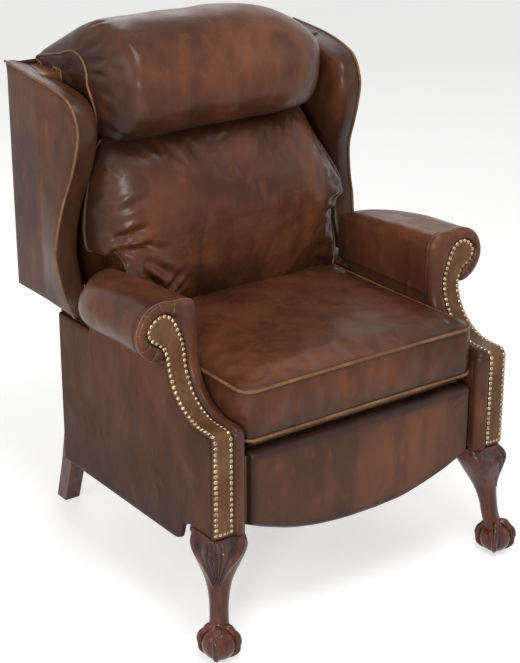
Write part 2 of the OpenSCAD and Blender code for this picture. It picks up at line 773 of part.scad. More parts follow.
module guide_link_shape() {
    color([0.50, 0.51, 0.53]) difference() {
        link_bar(guide_x, guide_end, cross_top);
        for (z = [guide_end, cross_top]) rod_x(guide_x - cut, guide_x + layer, rivet_r + run_gap, link_y, z);
    }
}

module guide_link_right() { guide_link_shape(); }
module guide_link_left() { on_left() guide_link_shape(); }

// Carry link with its rivets to the drive link, the guide link and the footrest bracket
module carry_link_shape() {
    color([0.46, 0.47, 0.49]) {
        link_bar(carry_x, drive_end, carry_top);
        rod_x(drive_x, carry_x, rivet_r, link_y, drive_end);
        rod_x(guide_x, carry_x, rivet_r, link_y, guide_end);
        rod_x(carry_x + steel_t, bracket_x + steel_t, rivet_r, link_y, carry_top);
    }
}

module carry_link_right() { carry_link_shape(); }
module carry_link_left() { on_left() carry_link_shape(); }

// Footrest

rest_lead = 2;
rest_y0 = front_y - rest_lead;
board_t = 15;
board_inset = 6;
pad_t = 33;
board_y0 = rest_y0 + pad_t + soft_gap;
board_y1 = board_y0 + board_t;
rest_power = 2.2;

module rest_bracket_shape() {
    flange = 26;
    arm_h = 22;
    half = 40;
    color([0.42, 0.43, 0.45]) difference() {
        union() {
            along_x(bracket_x, bracket_x + steel_t) {
                translate([link_y, carry_top]) circle(r = arm_h / 2);
                translate([board_y1, carry_top - arm_h / 2]) square([link_y - board_y1, arm_h]);
                translate([board_y1, carry_top - half]) square([steel_t, 2 * half]);
            }
            box([bracket_x - flange, board_y1, carry_top - half],
                [bracket_x + steel_t, board_y1 + steel_t, carry_top + half]);
        }
        rod_x(bracket_x - cut, bracket_x + layer, rivet_r + run_gap, link_y, carry_top);
    }
}

module rest_bracket_right() { rest_bracket_shape(); }
module rest_bracket_left() { on_left() rest_bracket_shape(); }

// Lower edge of the footrest at a distance x from its middle
function rest_edge(x, inset) = rest_low + inset + rest_rise * pow(abs(x) / (rest_w / 2), rest_power);

// Outline in X and Z, counter-clockwise as seen from the back
function rest_outline(inset) = concat(
    [for (i = [0:20]) let (x = (rest_w / 2 - inset) * (1 - i / 10)) [x, rest_edge(x, inset)]],
    [for (i = [0:3]) [-(rest_w / 2 - inset), rest_edge(rest_w / 2 - inset, inset)
        + (rest_top - inset - rest_edge(rest_w / 2 - inset, inset)) * (i + 1) / 4]],
    [for (i = [1:11]) [(rest_w / 2 - inset) * (i / 6 - 1), rest_top - inset]],
    [for (i = [0:3]) [rest_w / 2 - inset, rest_top - inset
        - (rest_top - inset - rest_edge(rest_w / 2 - inset, inset)) * i / 4]]);

module rest_board() {
    color([0.76, 0.62, 0.42]) along_y(board_y0, board_y1) polygon(rest_outline(board_inset));
}

// Padded panel: flat back, rounded edge, crowned face
module rest_pad() {
    rows = [[3, pad_t], [0, pad_t - 4], [0, 12], [3, 5], [9, 1.5], [30, 0]];
    color([0.30, 0.17, 0.11]) skin([for (row = rows)
        [for (p = rest_outline(row[0])) [p.x, rest_y0 + row[1], p.y]]]);
}

// Back

frame_step = 6;
frame_top = back_h - frame_step;
rail_in = 20;
mid_rail_drop = 285;
mid_rail_z = back_h - mid_rail_drop;
post_lap = 8;
// Top of the outer posts that carry the wings, and the cover over them
outer_drop = 45;
outer_top = back_h - outer_drop;
outer_cover = 35;

module back_frame() {
    y0 = frame_y0;
    y1 = frame_y1;
    wing_in = side_x - panel_w;
    color([0.76, 0.62, 0.42]) {
        for (s = [-1, 1]) {
            box([s > 0 ? stile_x0 : -stile_x1, y0, back_low], [s > 0 ? stile_x1 : -stile_x0, y1, frame_top]);
            // Outer posts that carry the wings
            box([s > 0 ? stile_x1 : -wing_in, y0, wing_z + post_lap], [s > 0 ? wing_in : -stile_x1, y1, outer_top]);
        }
        for (z = [back_low, mid_rail_z, frame_top - back_rail_h])
            box([-stile_x0, y0 + rail_in, z], [stile_x0, y1, z + back_rail_h]);
    }
}

web_n = 6;
web_w = 48;
web_t = 2;
web_end = 6;
web_foot = 70;
web_head = 90;
web_z0 = back_low + web_foot;
web_z1 = back_h - web_head;

// Elastic webs across the stiles
module back_webs() {
    color([0.12, 0.12, 0.13]) for (i = [0:web_n - 1]) {
        z = web_z0 + i * (web_z1 - web_z0) / (web_n - 1);
        box([-stile_x1 + web_end, frame_y0 - web_t, z], [stile_x1 - web_end, frame_y0, z + web_w]);
    }
}

inside_t = 12;
inside_rise = 32;
inside_low = seat_h + inside_rise;
inside_side = 2;
inside_top = outer_top;

// Covered inner back behind the cushions
module inside_back() {
    y1 = frame_y0 - web_t - soft_gap;
    x1 = side_x - wing_t - inside_side;
    color([0.28, 0.16, 0.11]) {
        box([-stile_x1, y1 - inside_t, inside_low], [stile_x1, y1, wing_z + post_lap]);
        box([-x1, y1 - inside_t, wing_z + post_lap], [x1, y1, inside_top]);
    }
}

outside_lap = 3;
outside_step = 10;

module outside_back() {
    x1 = side_x - panel_w;
    low_x = stile_x1;
    color([0.26, 0.15, 0.10]) along_y(frame_y1, back_face) polygon([
        [-low_x, back_low - outside_lap], [low_x, back_low - outside_lap], [low_x, wing_z],
        [x1, wing_z + outside_step], [x1, back_h], [-x1, back_h], [-x1, wing_z + outside_step], [-low_x, wing_z]]);
}

// Steel arm on a stile, with the bore that turns on the post's pin
module hinge_arm_shape() {
    r = 0.92 * hinge_boss;
    y0 = frame_y0 + hinge_edge;
    y1 = frame_y1 - hinge_edge;
    z0 = back_low + hinge_edge;
    color([0.42, 0.43, 0.45]) difference() {
        union() {
            rod_x(pivot_arm_x, pivot_arm_x + hinge_t, hinge_boss, pivot_y, pivot_h);
            along_x(pivot_arm_x, pivot_arm_x + hinge_t) polygon([
                [pivot_y, pivot_h - r], [pivot_y, pivot_h + r], [y0, pivot_h + hinge_rise],
                [y1, pivot_h + hinge_rise], [y1, z0], [y0, z0]]);
        }
        rod_x(pivot_arm_x - cut, pivot_arm_x + hinge_t + cut, hinge_r + run_gap, pivot_y, pivot_h);
    }
}

module hinge_arm_right() { hinge_arm_shape(); }
module hinge_arm_left() { on_left() hinge_arm_shape(); }

// Outline of a wing, as shares of its reach forward of the back and of its height
wing_shares = [
    [0.00, 0.05], [0.08, 0.00], [0.40, 0.00], [0.769, 0.000], [0.744, 0.028], [0.678, 0.105], [0.634, 0.203],
    [0.648, 0.301], [0.722, 0.410], [0.817, 0.509], [0.905, 0.596], [0.971, 0.672], [1.000, 0.753],
    [0.985, 0.805], [0.940, 0.860], [0.831, 0.906], [0.641, 0.941], [0.414, 0.967], [0.165, 0.990],
    [0.000, 1.000]];
panel_w = 18;

function wing_pt(s) = [back_face - wing_d * s.x, wing_z + (back_h - wing_z) * s.y];

module wing_panel_shape() { along_x(side_x - panel_w, side_x) polygon([for (s = wing_shares) wing_pt(s)]); }
module wing_panel_right() { color([0.28, 0.16, 0.10]) wing_panel_shape(); }
module wing_panel_left() { color([0.28, 0.16, 0.10]) on_left() wing_panel_shape(); }

// Outline of the padding, from the inner back forward
function pad_shares() = let (r = (back_face - head_wall + soft_gap) / wing_d) concat(
    [[r, 0]], [for (s = wing_shares) if (s.x > r + 0.02 && s.x < 1.1) s], [[r, 0.973]]);

// The same outline grown by g, but for its lower edge and its rear end
function wing_grown(g) = let (q = pad_shares(), n = len(q)) [for (i = [0:n - 1])
    let (a = wing_pt(q[max(i - 1, 0)]), b = wing_pt(q[min(i + 1, n - 1)]), t = (b - a) / norm(b - a))
    wing_pt(q[i]) + g * (q[i].y == 0 ? [i > 1 ? -1 : 0, 0] : i == n - 1 ? [0, 1] : [-t.y, t.x])];

// Padding inside the wing panel, with a full rounded front edge
module wing_pad_shape() {
    x1 = side_x - panel_w;
    t = wing_t - panel_w;
    rows = [[0, -0.028], [0.25, 0.111], [0.55, 0.139], [0.8, 0.028], [0.94, -0.167], [1, -0.444]];
    skin([for (k = [len(rows) - 1:-1:0])
        [for (p = wing_grown(t * rows[k][1])) [x1 - soft_gap - (t - soft_gap) * rows[k][0], p.x, p.y]]]);
}

module wing_pad_right() { color([0.33, 0.18, 0.11]) wing_pad_shape(); }
module wing_pad_left() { color([0.33, 0.18, 0.11]) on_left() wing_pad_shape(); }

// Padded cover over an outer post, between the wing and the head cushion
module wing_cap_shape() {
    r = head_wall - soft_gap;
    along_x(head_w / 2 + soft_gap, side_x - panel_w - soft_gap) polygon([
        [r, outer_top + soft_gap], [frame_y1 - soft_gap, outer_top + soft_gap],
        [frame_y1 - soft_gap, back_h - cap_drop], [frame_y0, back_h - 2 * cap_drop], [r, back_h - 3 * cap_drop]]);
}

cap_drop = 7;

module wing_cap_right() { color([0.33, 0.18, 0.11]) wing_cap_shape(); }
module wing_cap_left() { color([0.33, 0.18, 0.11]) on_left() wing_cap_shape(); }

lumbar_play = 3;
lumbar_w = 2 * (inner_x - lumbar_play);
lumbar_ear = 24;
lumbar_lift = 4;
lumbar_z = seat_h + cushion_t + lumbar_lift;

// Half width of the lumbar cushion at a share v of its height, with its ears over the arms
function lumbar_half(v) = lumbar_w / 2 * (1 - 0.058 * pow(1 - v, 3)) + lumbar_ear * exp(-pow((v - 0.46) / 0.13, 2));

// Outline in X and Z, counter-clockwise as seen from the back
function lumbar_outline() = let (n = 10) concat(
    [for (i = [0:8]) [lumbar_half(0) * (1 - i / 4), lumbar_z]],
    [for (i = [1:n]) [-lumbar_half(i / n), lumbar_z + lumbar_h * i / n]],
    [for (i = [1:8]) [lumbar_half(1) * (i / 4 - 1), lumbar_z + lumbar_h]],
    [for (i = [1:n - 1]) [lumbar_half(1 - i / n), lumbar_z + lumbar_h * (1 - i / n)]]);

// Pillow: its edge seam stands in one plane, the face is domed forward and the back is shallow
module lumbar_cushion() {
    mid_z = lumbar_z + lumbar_h * 0.44;
    back_d = frame_y0 - web_t - inside_t - 2 * soft_gap - pillow_y;
    rows = [[0.30, back_d], [0.80, back_d], [0.93, back_d * 0.62], [1.00, 0], [0.985, -0.16 * lumbar_crown],
            [0.93, -0.38 * lumbar_crown], [0.82, -0.62 * lumbar_crown], [0.66, -0.82 * lumbar_crown],
            [0.45, -0.95 * lumbar_crown], [0.20, -lumbar_crown]];
    color([0.30, 0.16, 0.10]) intersection() {
        skin([for (row = rows) [for (p = lumbar_outline())
            [p.x * row[0], pillow_y + row[1], mid_z + (p.y - mid_z) * (row[0] * 0.96 + 0.04)]]]);
        union() {
            w = side_x - wing_t - soft_gap;
            box([-w, front_y, lumbar_z - cut], [w, frame_y0, head_top]);
            box([-side_x, front_y, lumbar_z + lumbar_h * 0.225], [side_x, wing_clear, head_top]);
        }
    }
}

wing_clear = back_face - wing_d * 0.83;

// Section of the head cushion in Y and Z: front bulge, crown over the top rail, rear roll, underside
head_over = 3;
head_w = 2 * (inner_x + head_over);
head_reach = 120;
head_z = lumbar_z + lumbar_h + 2 * soft_gap;
function head_section() = let (h = head_top - head_z, y = pillow_y, d = head_reach) [
    [y - d * 0.433, head_z + 1], [y - d * 0.767, head_z + h * 0.12], [y - d * 0.967, head_z + h * 0.30], [y - d, head_z + h * 0.48],
    [y - d * 0.917, head_z + h * 0.66], [y - d * 0.717, head_z + h * 0.83], [y - d * 0.45, head_z + h * 0.95], [y - d * 0.167, head_top],
    [y + d * 0.15, head_top - 1], [y + d * 0.517, head_top - h * 0.07], [y + d * 0.867, head_top - h * 0.18],
    [y + d * 1.217, head_top - h * 0.32], [back_face - 18, back_h + 12], [back_face - 24, back_h + 1],
    [frame_y0, back_h + 1], [head_wall, back_h + 1], [head_wall, head_z + h * 0.3],
    [head_wall - 4, head_z + h * 0.1], [y + d * 0.283, head_z + 2]];
head_wall = frame_y0 - web_t - inside_t - 2 * soft_gap;

// Shares of the half width at which the head cushion is cut, denser towards its rounded ends
head_cuts = [0, 0.2, 0.4, 0.58, 0.72, 0.82, 0.89, 0.94, 0.97, 1];
head_thin = 0.002;
// At a share of the half width: reach of the front, height over the frame, depth under the frame's top
function head_front(s) = pow(max(1 - pow(s * 1.037, 2.5), head_thin), 0.4);
function head_rise_at(s) = pow(1 - pow(s * 0.966, 2), 0.7);
function head_low_at(s) = 1 - pow(s, 12) / 4;

module head_cushion() {
    base = back_h + 1;
    shares = concat([for (i = [len(head_cuts) - 1:-1:1]) -head_cuts[i]], head_cuts);
    color([0.33, 0.19, 0.12]) skin([for (s = shares) let (a = abs(s)) [for (p = head_section())
        [s * head_w / 2,
         p.x < head_wall ? head_wall - (head_wall - p.x) * head_front(a) : p.x,
         p.y > base ? base + (p.y - base) * head_rise_at(a) : base - (base - p.y) * head_low_at(a)]]],
        [for (s = [-1, 1]) [s * head_w / 2, head_wall - 6, base + 4]]);
}

front_leg_left();
front_leg_right();
rear_leg_left();
rear_leg_right();
arm_frame_left();
arm_frame_right();
side_panel_left();
side_panel_right();
arm_pad_left();
arm_pad_right();
arm_front_left();
arm_front_right();
arm_facing_left();
arm_facing_right();
base_rails();
glue_blocks();
quarter_panel_left();
quarter_panel_right();
rear_apron();
glide_rail_left();
glide_rail_right();
hinge_post_left();
hinge_post_right();
seat_frame();
seat_springs();
seat_deck();
seat_cushion();
link_plate_left();
link_plate_right();
glide_rollers();
torque_tube();
drive_link_left();
drive_link_right();
cross_link_left();
cross_link_right();
guide_link_left();
guide_link_right();
carry_link_left();
carry_link_right();
rest_bracket_left();
rest_bracket_right();
rest_board();
rest_pad();
back_frame();
back_webs();
inside_back();
outside_back();
hinge_arm_left();
hinge_arm_right();
wing_panel_left();
wing_panel_right();
wing_pad_left();
wing_pad_right();
wing_cap_left();
wing_cap_right();
lumbar_cushion();
head_cushion();
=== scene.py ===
"""Leather, wood and brass of a high-leg wing recliner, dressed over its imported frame.

All sizes in the classes are millimetres in the row frame: the chair faces -Y, +Z is up and the
floor is at zero. Shapes are worked out as whole numpy arrays and become metres in the mesh.
"""
from __future__ import annotations

import json
import logging
import math
from dataclasses import dataclass, field
from enum import Enum
from functools import cache
from typing import Callable, Iterable, Sequence

import bpy
import numpy as np
from mathutils import Matrix

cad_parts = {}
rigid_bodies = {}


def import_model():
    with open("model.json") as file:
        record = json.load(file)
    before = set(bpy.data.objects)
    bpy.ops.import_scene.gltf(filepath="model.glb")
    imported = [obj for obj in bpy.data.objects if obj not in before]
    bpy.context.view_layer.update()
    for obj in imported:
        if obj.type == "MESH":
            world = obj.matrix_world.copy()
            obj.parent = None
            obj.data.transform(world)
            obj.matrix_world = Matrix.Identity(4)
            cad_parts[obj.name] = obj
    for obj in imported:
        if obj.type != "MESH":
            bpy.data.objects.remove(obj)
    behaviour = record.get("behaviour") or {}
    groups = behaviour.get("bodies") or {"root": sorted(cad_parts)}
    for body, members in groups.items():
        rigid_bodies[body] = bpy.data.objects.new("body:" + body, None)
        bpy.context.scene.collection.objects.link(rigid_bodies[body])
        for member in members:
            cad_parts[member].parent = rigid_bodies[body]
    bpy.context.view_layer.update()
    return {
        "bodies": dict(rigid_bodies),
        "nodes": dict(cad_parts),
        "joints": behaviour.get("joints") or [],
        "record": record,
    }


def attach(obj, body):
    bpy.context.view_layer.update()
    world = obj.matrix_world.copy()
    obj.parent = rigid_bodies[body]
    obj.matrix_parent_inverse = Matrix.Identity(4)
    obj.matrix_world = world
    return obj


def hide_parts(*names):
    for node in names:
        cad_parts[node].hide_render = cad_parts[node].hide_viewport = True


MM = 0.001
Array = np.ndarray
Fold = tuple[Sequence[float], Sequence[float], float, float]
LOG = logging.getLogger("wing_recliner")


class Side(Enum):
    """Half of the chair, with the sign of its X."""

    LEFT = -1
    RIGHT = 1

    @property
    def tag(self) -> str:
        """Word that ends the names of this half's pieces."""
        return self.name.lower()


class Body(Enum):
    """Bodies of the frame that pieces ride on."""

    BASE = "base"
    SEAT = "seat"
    FOOTREST = "footrest"
    BACK = "back"


# Surfaces


@dataclass
class Surface:
    """Points in millimetres with faces over them and a share of painted shade for each point.

    Args:
        points: N by 3 coordinates.
        quads: M by 4 indices.
        tris: K by 3 indices.
        tone: N shares, 0 for plain leather or wood and 1 for the darkest painted shade in a seam or hollow.
    """

    points: Array
    quads: Array
    tris: Array = field(default_factory=lambda: np.zeros((0, 3), int))
    tone: Array | None = None

    def shades(self) -> Array:
        """Painted shade of each point, zero where none was given."""
        return np.zeros(len(self.points)) if self.tone is None else self.tone

    def mirrored(self, side: Side) -> "Surface":
        """The same surface on a half of the chair; a mirrored one has its faces turned round."""
        if side is Side.RIGHT:
            return self
        return Surface(self.points * [-1, 1, 1], self.quads[:, ::-1], self.tris[:, ::-1], self.tone)

    def outward(self) -> "Surface":
        """The closed surface with its faces pointing out: six times its volume is the sum of a . (b x c)."""
        tris = np.vstack([self.quads[:, [0, 1, 2]], self.quads[:, [0, 2, 3]], self.tris])
        a, b, c = (self.points[tris[:, k]] for k in range(3))
        if np.einsum("ij,ij->i", a, np.cross(b, c)).sum() >= 0:
            return self
        return Surface(self.points, self.quads[:, ::-1], self.tris[:, ::-1], self.tone)


def join(surfaces: Sequence[Surface]) -> Surface:
    """Several surfaces as one, each keeping its own points."""
    starts = np.cumsum([0] + [len(s.points) for s in surfaces[:-1]])
    return Surface(np.vstack([s.points for s in surfaces]),
                   np.vstack([s.quads + k for s, k in zip(surfaces, starts)]),
                   np.vstack([s.tris + k for s, k in zip(surfaces, starts)]),
                   np.concatenate([s.shades() for s in surfaces]))


def grid_quads(rows: int, cols: int, wrap: bool) -> Array:
    """Quads between neighbouring rows and columns of a grid, round to the first column if it wraps."""
    last = cols if wrap else cols - 1
    j, i = np.meshgrid(np.arange(rows - 1), np.arange(last), indexing="ij")
    a, b = j * cols + i, j * cols + (i + 1) % cols
    return np.stack([a, b, b + cols, a + cols], -1).reshape(-1, 4)


def loft(rings: Array, tone: Array | None = None) -> Surface:
    """Closed shell over rings of points, each end closed by a fan to the mean of its ring.

    Args:
        rings: M by N by 3 points, each ring closed.
        tone: M by N shares.
    """
    m, n = rings.shape[:2]
    points = np.vstack([rings.reshape(-1, 3), rings[0].mean(0), rings[-1].mean(0)])
    i = np.arange(n)
    k = (i + 1) % n
    tris = np.vstack([np.stack([np.full(n, m * n), k, i], -1),
                      np.stack([np.full(n, m * n + 1), (m - 1) * n + i, (m - 1) * n + k], -1)])
    shade = None if tone is None else np.concatenate([tone.ravel(), [tone[0].mean(), tone[-1].mean()]])
    return Surface(points, grid_quads(m, n, True), tris, shade).outward()


def slab(front: Array, back: Array, tone: Array | None = None) -> Surface:
    """Closed shell between two grids of the same size that share their border points.

    Args:
        front: M by N by 3 points.
        back: M by N by 3 points.
        tone: M by N shares for both.
    """
    m, n = front.shape[:2]
    quads = grid_quads(m, n, False)
    rim = np.ones((m, n), bool)
    rim[1:-1, 1:-1] = False
    inner = np.cumsum(~rim.ravel()) - 1 + m * n
    index = np.where(rim.ravel(), np.arange(m * n), inner)
    points = np.vstack([front.reshape(-1, 3), back.reshape(-1, 3)[~rim.ravel()]])
    shade = None if tone is None else np.concatenate([tone.ravel(), tone.ravel()[~rim.ravel()]])
    return Surface(points, np.vstack([quads, index[quads][:, ::-1]]), tone=shade).outward()


def smooth_path(points: Sequence[Sequence[float]], count: int, closed: bool = False) -> Array:
    """Catmull-Rom curve through the points, resampled to even steps.

    Each span is half of 2b + (c - a)t + (2a - 5b + 4c - d)t^2 + (3b - a - 3c + d)t^3.
    """
    p = np.asarray(points, float)
    p = np.vstack([p[-1:], p, p[:2]]) if closed else np.vstack([2 * p[:1] - p[1:2], p, 2 * p[-1:] - p[-2:-1]])
    t = np.linspace(0, 1, 25)[:-1, None]
    spans = [0.5 * (2 * b + (c - a) * t + (2 * a - 5 * b + 4 * c - d) * t ** 2 + (3 * b - a - 3 * c + d) * t ** 3)
             for a, b, c, d in zip(p[:-3], p[1:-2], p[2:-1], p[3:])]
    return even_path(np.vstack(spans + [p[-2:-1]]), count + 1 if closed else count)[:count]


def even_path(path: Array, count: int) -> Array:
    """The same path with points at even steps along it."""
    step = np.concatenate([[0], np.cumsum(np.linalg.norm(np.diff(path, axis=0), axis=1))])
    want = np.linspace(0, step[-1], count)
    return np.stack([np.interp(want, step, path[:, k]) for k in range(path.shape[1])], -1)


def path_length(path: Array) -> float:
    """Length of a path of points."""
    return float(np.linalg.norm(np.diff(path, axis=0), axis=1).sum())


def unit(v: Array) -> Array:
    """Vectors scaled to length one."""
    return v / np.maximum(np.linalg.norm(v, axis=-1, keepdims=True), 1e-9)


def tube(path: Array, radius: float | Array, sides: int = 8, up: Sequence[float] = (0, 0, 1), closed: bool = False,
         tone: float = 0.0) -> Surface:
    """Round tube along a path: each ring is r (cos t side + sin t over), with side = tangent x up.

    Args:
        path: N by 3 points.
        radius: radius, or one for each point.
        sides: points in a ring.
        up: a direction that the path never runs along.
        closed: joins the ends.
        tone: share for all points.
    """
    if closed:
        along = np.roll(path, -1, 0) - np.roll(path, 1, 0)
    else:
        along = np.gradient(path, axis=0)
    along = unit(along)
    side = unit(np.cross(along, np.asarray(up, float)))
    over = np.cross(side, along)
    t = np.linspace(0, 2 * np.pi, sides, endpoint=False)
    r = np.broadcast_to(np.asarray(radius, float), (len(path),))[:, None, None]
    rings = path[:, None] + r * (np.cos(t)[None, :, None] * side[:, None] + np.sin(t)[None, :, None] * over[:, None])
    if not closed:
        return loft(rings, np.full(rings.shape[:2], tone))
    m = len(path)
    quads = grid_quads(m + 1, sides, True) % (m * sides)
    return Surface(rings.reshape(-1, 3), quads, tone=np.full(m * sides, tone)).outward()


def rounded_spacing(count: int, length: float, edge: float) -> Array:
    """Places from 0 to length that lie closer together within edge of both ends."""
    near = max(4, count // 5)
    ends = edge * (1 - np.cos(np.linspace(0, np.pi / 2, near)))
    middle = np.linspace(edge, length - edge, count - 2 * near + 2)[1:-1]
    return np.concatenate([ends, middle, (length - ends)[::-1]])


def edge_rise(distance: Array, edge: float) -> Array:
    """Height share of a rounded edge: a quarter circle that reaches 1 at the given distance in."""
    return np.sqrt(np.clip(1 - (1 - np.clip(distance / edge, 0, 1)) ** 2, 0, 1))


def ripple(points: Array, scale: float, seed: int, octaves: int = 3) -> Array:
    """Smooth unevenness from -1 to 1: a sum of sines in fixed directions, each octave at twice the pitch."""
    rng = np.random.default_rng(seed)
    total = np.zeros(len(points))
    for k in range(octaves):
        for _ in range(4):
            way = unit(rng.normal(size=3)) * 2 * np.pi * 2 ** k / scale
            total += np.sin(points @ way + rng.uniform(0, 2 * np.pi)) / 2 ** k / 4
    return total


def crease(points: Array, a: Sequence[float], b: Sequence[float], width: float, depth: float) -> Array:
    """Height change of a fold along a to b: a groove between two low ridges, both dying away at its ends.

    With d the distance from the line and s the share along it, the height is
    depth sin(pi s) (0.7 exp(-((d - 1.7w) / w)^2) - exp(-(d / w)^2)).
    """
    a, b = np.asarray(a, float), np.asarray(b, float)
    run = b - a
    s = np.clip((points - a) @ run / (run @ run), 0, 1)
    d = np.linalg.norm(points - a - s[:, None] * run, axis=1)
    fade = np.sin(np.pi * np.clip(s, 0.02, 0.98)) ** 0.6
    return depth * fade * (0.7 * np.exp(-((d - 1.7 * width) / width) ** 2) - np.exp(-(d / width) ** 2))


# Finishes


class Graph:
    """Short way to add and link the nodes of a material."""

    def __init__(self, name: str) -> None:
        """Starts an empty material with an output and a principled shader."""
        self.material = bpy.data.materials.new(name)
        self.material.use_nodes = True
        self.tree = self.material.node_tree
        self.tree.nodes.clear()
        self.shader = self.node("ShaderNodeBsdfPrincipled")
        out = self.node("ShaderNodeOutputMaterial")
        self.tree.links.new(self.shader.outputs[0], out.inputs[0])
        self.place = self.node("ShaderNodeTexCoord").outputs["Object"]

    def node(self, kind: str, **settings: object) -> bpy.types.Node:
        """New node; settings that name an input socket set its value, and others set a property."""
        made = self.tree.nodes.new(kind)
        for key, value in settings.items():
            socket = made.inputs.get(key.replace("_", " "))
            if socket is None:
                setattr(made, key, value)
            else:
                socket.default_value = value
        return made

    def link(self, source: object, target: object) -> None:
        """Link from an output to an input."""
        self.tree.links.new(source, target)

    def shade(self, **inputs: object) -> None:
        """Sets inputs of the shader, each a socket to link or a value; an underscore stands for a space."""
        for key, value in inputs.items():
            socket = self.shader.inputs[key.replace("_", " ")]
            if isinstance(value, bpy.types.NodeSocket):
                self.link(value, socket)
            else:
                socket.default_value = value

    def noise(self, scale: float, detail: float = 3, distortion: float = 0,
              stretch: Sequence[float] = (1, 1, 1)) -> object:
        """Noise over Object coordinates, with a stretch of its own for each axis."""
        made = self.node("ShaderNodeTexNoise", Scale=scale, Detail=detail, Distortion=distortion)
        if tuple(stretch) == (1, 1, 1):
            self.link(self.place, made.inputs["Vector"])
        else:
            mapping = self.node("ShaderNodeMapping")
            mapping.inputs["Scale"].default_value = stretch
            self.link(self.place, mapping.inputs["Vector"])
            self.link(mapping.outputs[0], made.inputs["Vector"])
        return made.outputs["Fac"]

    def ranged(self, source: object, low: float, high: float, to_low: float, to_high: float) -> object:
        """Value carried smoothly from one range to another."""
        made = self.node("ShaderNodeMapRange", interpolation_type="SMOOTHSTEP")
        self.link(source, made.inputs["Value"])
        for key, value in (("From Min", low), ("From Max", high), ("To Min", to_low), ("To Max", to_high)):
            made.inputs[key].default_value = value
        return made.outputs[0]

    def blend(self, factor: object, a: object, b: object) -> object:
        """Colour between a and b; each is a colour or a socket."""
        made = self.node("ShaderNodeMix", data_type="RGBA")
        for source, socket in ((factor, made.inputs[0]), (a, made.inputs[6]), (b, made.inputs[7])):
            if isinstance(source, (tuple, list)):
                socket.default_value = (*source, 1) if len(source) == 3 else source
            elif isinstance(source, (int, float)):
                socket.default_value = source
            else:
                self.link(source, socket)
        return made.outputs[2]

    def tone(self) -> object:
        """The share of painted shade that the meshes carry."""
        return self.node("ShaderNodeAttribute", attribute_name="tone").outputs["Fac"]

    def bump(self, height: object, distance: float, strength: float = 1, under: object | None = None) -> object:
        """Bump of a height, over another bump if one is given."""
        made = self.node("ShaderNodeBump", Distance=distance, Strength=strength)
        self.link(height, made.inputs["Height"])
        if under is not None:
            self.link(under, made.inputs["Normal"])
        return made.outputs[0]


@dataclass(frozen=True)
class Leather:
    """Hand-rubbed leather: two browns in soft clouds and fine rubbed streaks, with painted shade where tone says.

    Args:
        deep: colour between the clouds.
        warm: colour of the clouds.
        edge: colour of the painted shade in hollows, creases and along seams.
        rough: mean roughness.
        gloss: specular level of the leather itself.
        coat: weight of the wax on top.
        cloud: scale of the clouds, per metre.
    """

    name: str
    deep: tuple[float, float, float] = (0.058, 0.0200, 0.0110)
    warm: tuple[float, float, float] = (0.165, 0.0560, 0.0230)
    edge: tuple[float, float, float] = (0.021, 0.0105, 0.0078)
    rough: float = 0.33
    gloss: float = 0.15
    coat: float = 0.10
    cloud: float = 3.4

    def make(self) -> bpy.types.Material:
        """Builds the material."""
        g = Graph(self.name)
        cloud = g.ranged(g.noise(self.cloud, 3, 0.6), 0.30, 0.70, 0.05, 1)
        base = g.blend(cloud, self.deep, self.warm)
        rubbed = g.ranged(g.noise(self.cloud * 7, 4, 0.5, (1, 1, 0.35)), 0.35, 0.72, 0.0, 0.55)
        base = g.blend(rubbed, base, tuple(0.72 * d for d in self.deep))
        glow = g.ranged(g.noise(self.cloud * 11, 3, 0.3, (1, 1, 0.5)), 0.52, 0.78, 0.0, 0.40)
        base = g.blend(glow, base, tuple(1.25 * w for w in self.warm))
        # Painted shade: tone, varied a little by noise, darkens the leather towards the edge colour.
        darkened = g.node("ShaderNodeMath", operation="MULTIPLY")
        g.link(g.tone(), darkened.inputs[0])
        g.link(g.ranged(g.noise(self.cloud * 4, 3), 0.3, 0.6, 0.72, 1.0), darkened.inputs[1])
        base = g.blend(darkened.outputs[0], base, self.edge)
        g.shade(Base_Color=base, Specular_IOR_Level=self.gloss, Coat_Weight=self.coat, Coat_Roughness=0.22,
                Roughness=g.ranged(g.noise(self.cloud * 5, 3), 0.3, 0.7, self.rough - 0.05, self.rough + 0.08))
        cells = g.node("ShaderNodeTexVoronoi", Scale=560.0, Randomness=1.0)
        g.link(g.place, cells.inputs["Vector"])
        creases = g.bump(g.noise(30, 4, 1.0), 0.0012, 0.6)
        g.shade(Normal=g.bump(cells.outputs["Distance"], 0.0002, 0.45, creases))
        return g.material


@dataclass(frozen=True)
class Wood:
    """Wood with long streaks of grain along Z, with painted shade in the hollows of the carving."""

    name: str
    light: tuple[float, float, float]
    dark: tuple[float, float, float]
    rough: float
    coat: float
    stretch: tuple[float, float, float] = (1, 1, 0.08)

    def make(self) -> bpy.types.Material:
        """Builds the material."""
        g = Graph(self.name)
        grain = g.noise(90, 5, 0.6, self.stretch)
        base = g.blend(g.ranged(grain, 0.35, 0.68, 0, 1), self.dark, self.light)
        # Painted shade: tone darkens the wood in the carving's hollows and low on the ball.
        base = g.blend(g.tone(), base, tuple(0.30 * c for c in self.dark))
        g.shade(Base_Color=base, Specular_IOR_Level=0.22, Coat_Weight=self.coat, Coat_Roughness=0.12,
                Roughness=g.ranged(g.noise(30, 3), 0.3, 0.7, self.rough - 0.05, self.rough + 0.07),
                Normal=g.bump(grain, 0.0003, 0.3))
        return g.material


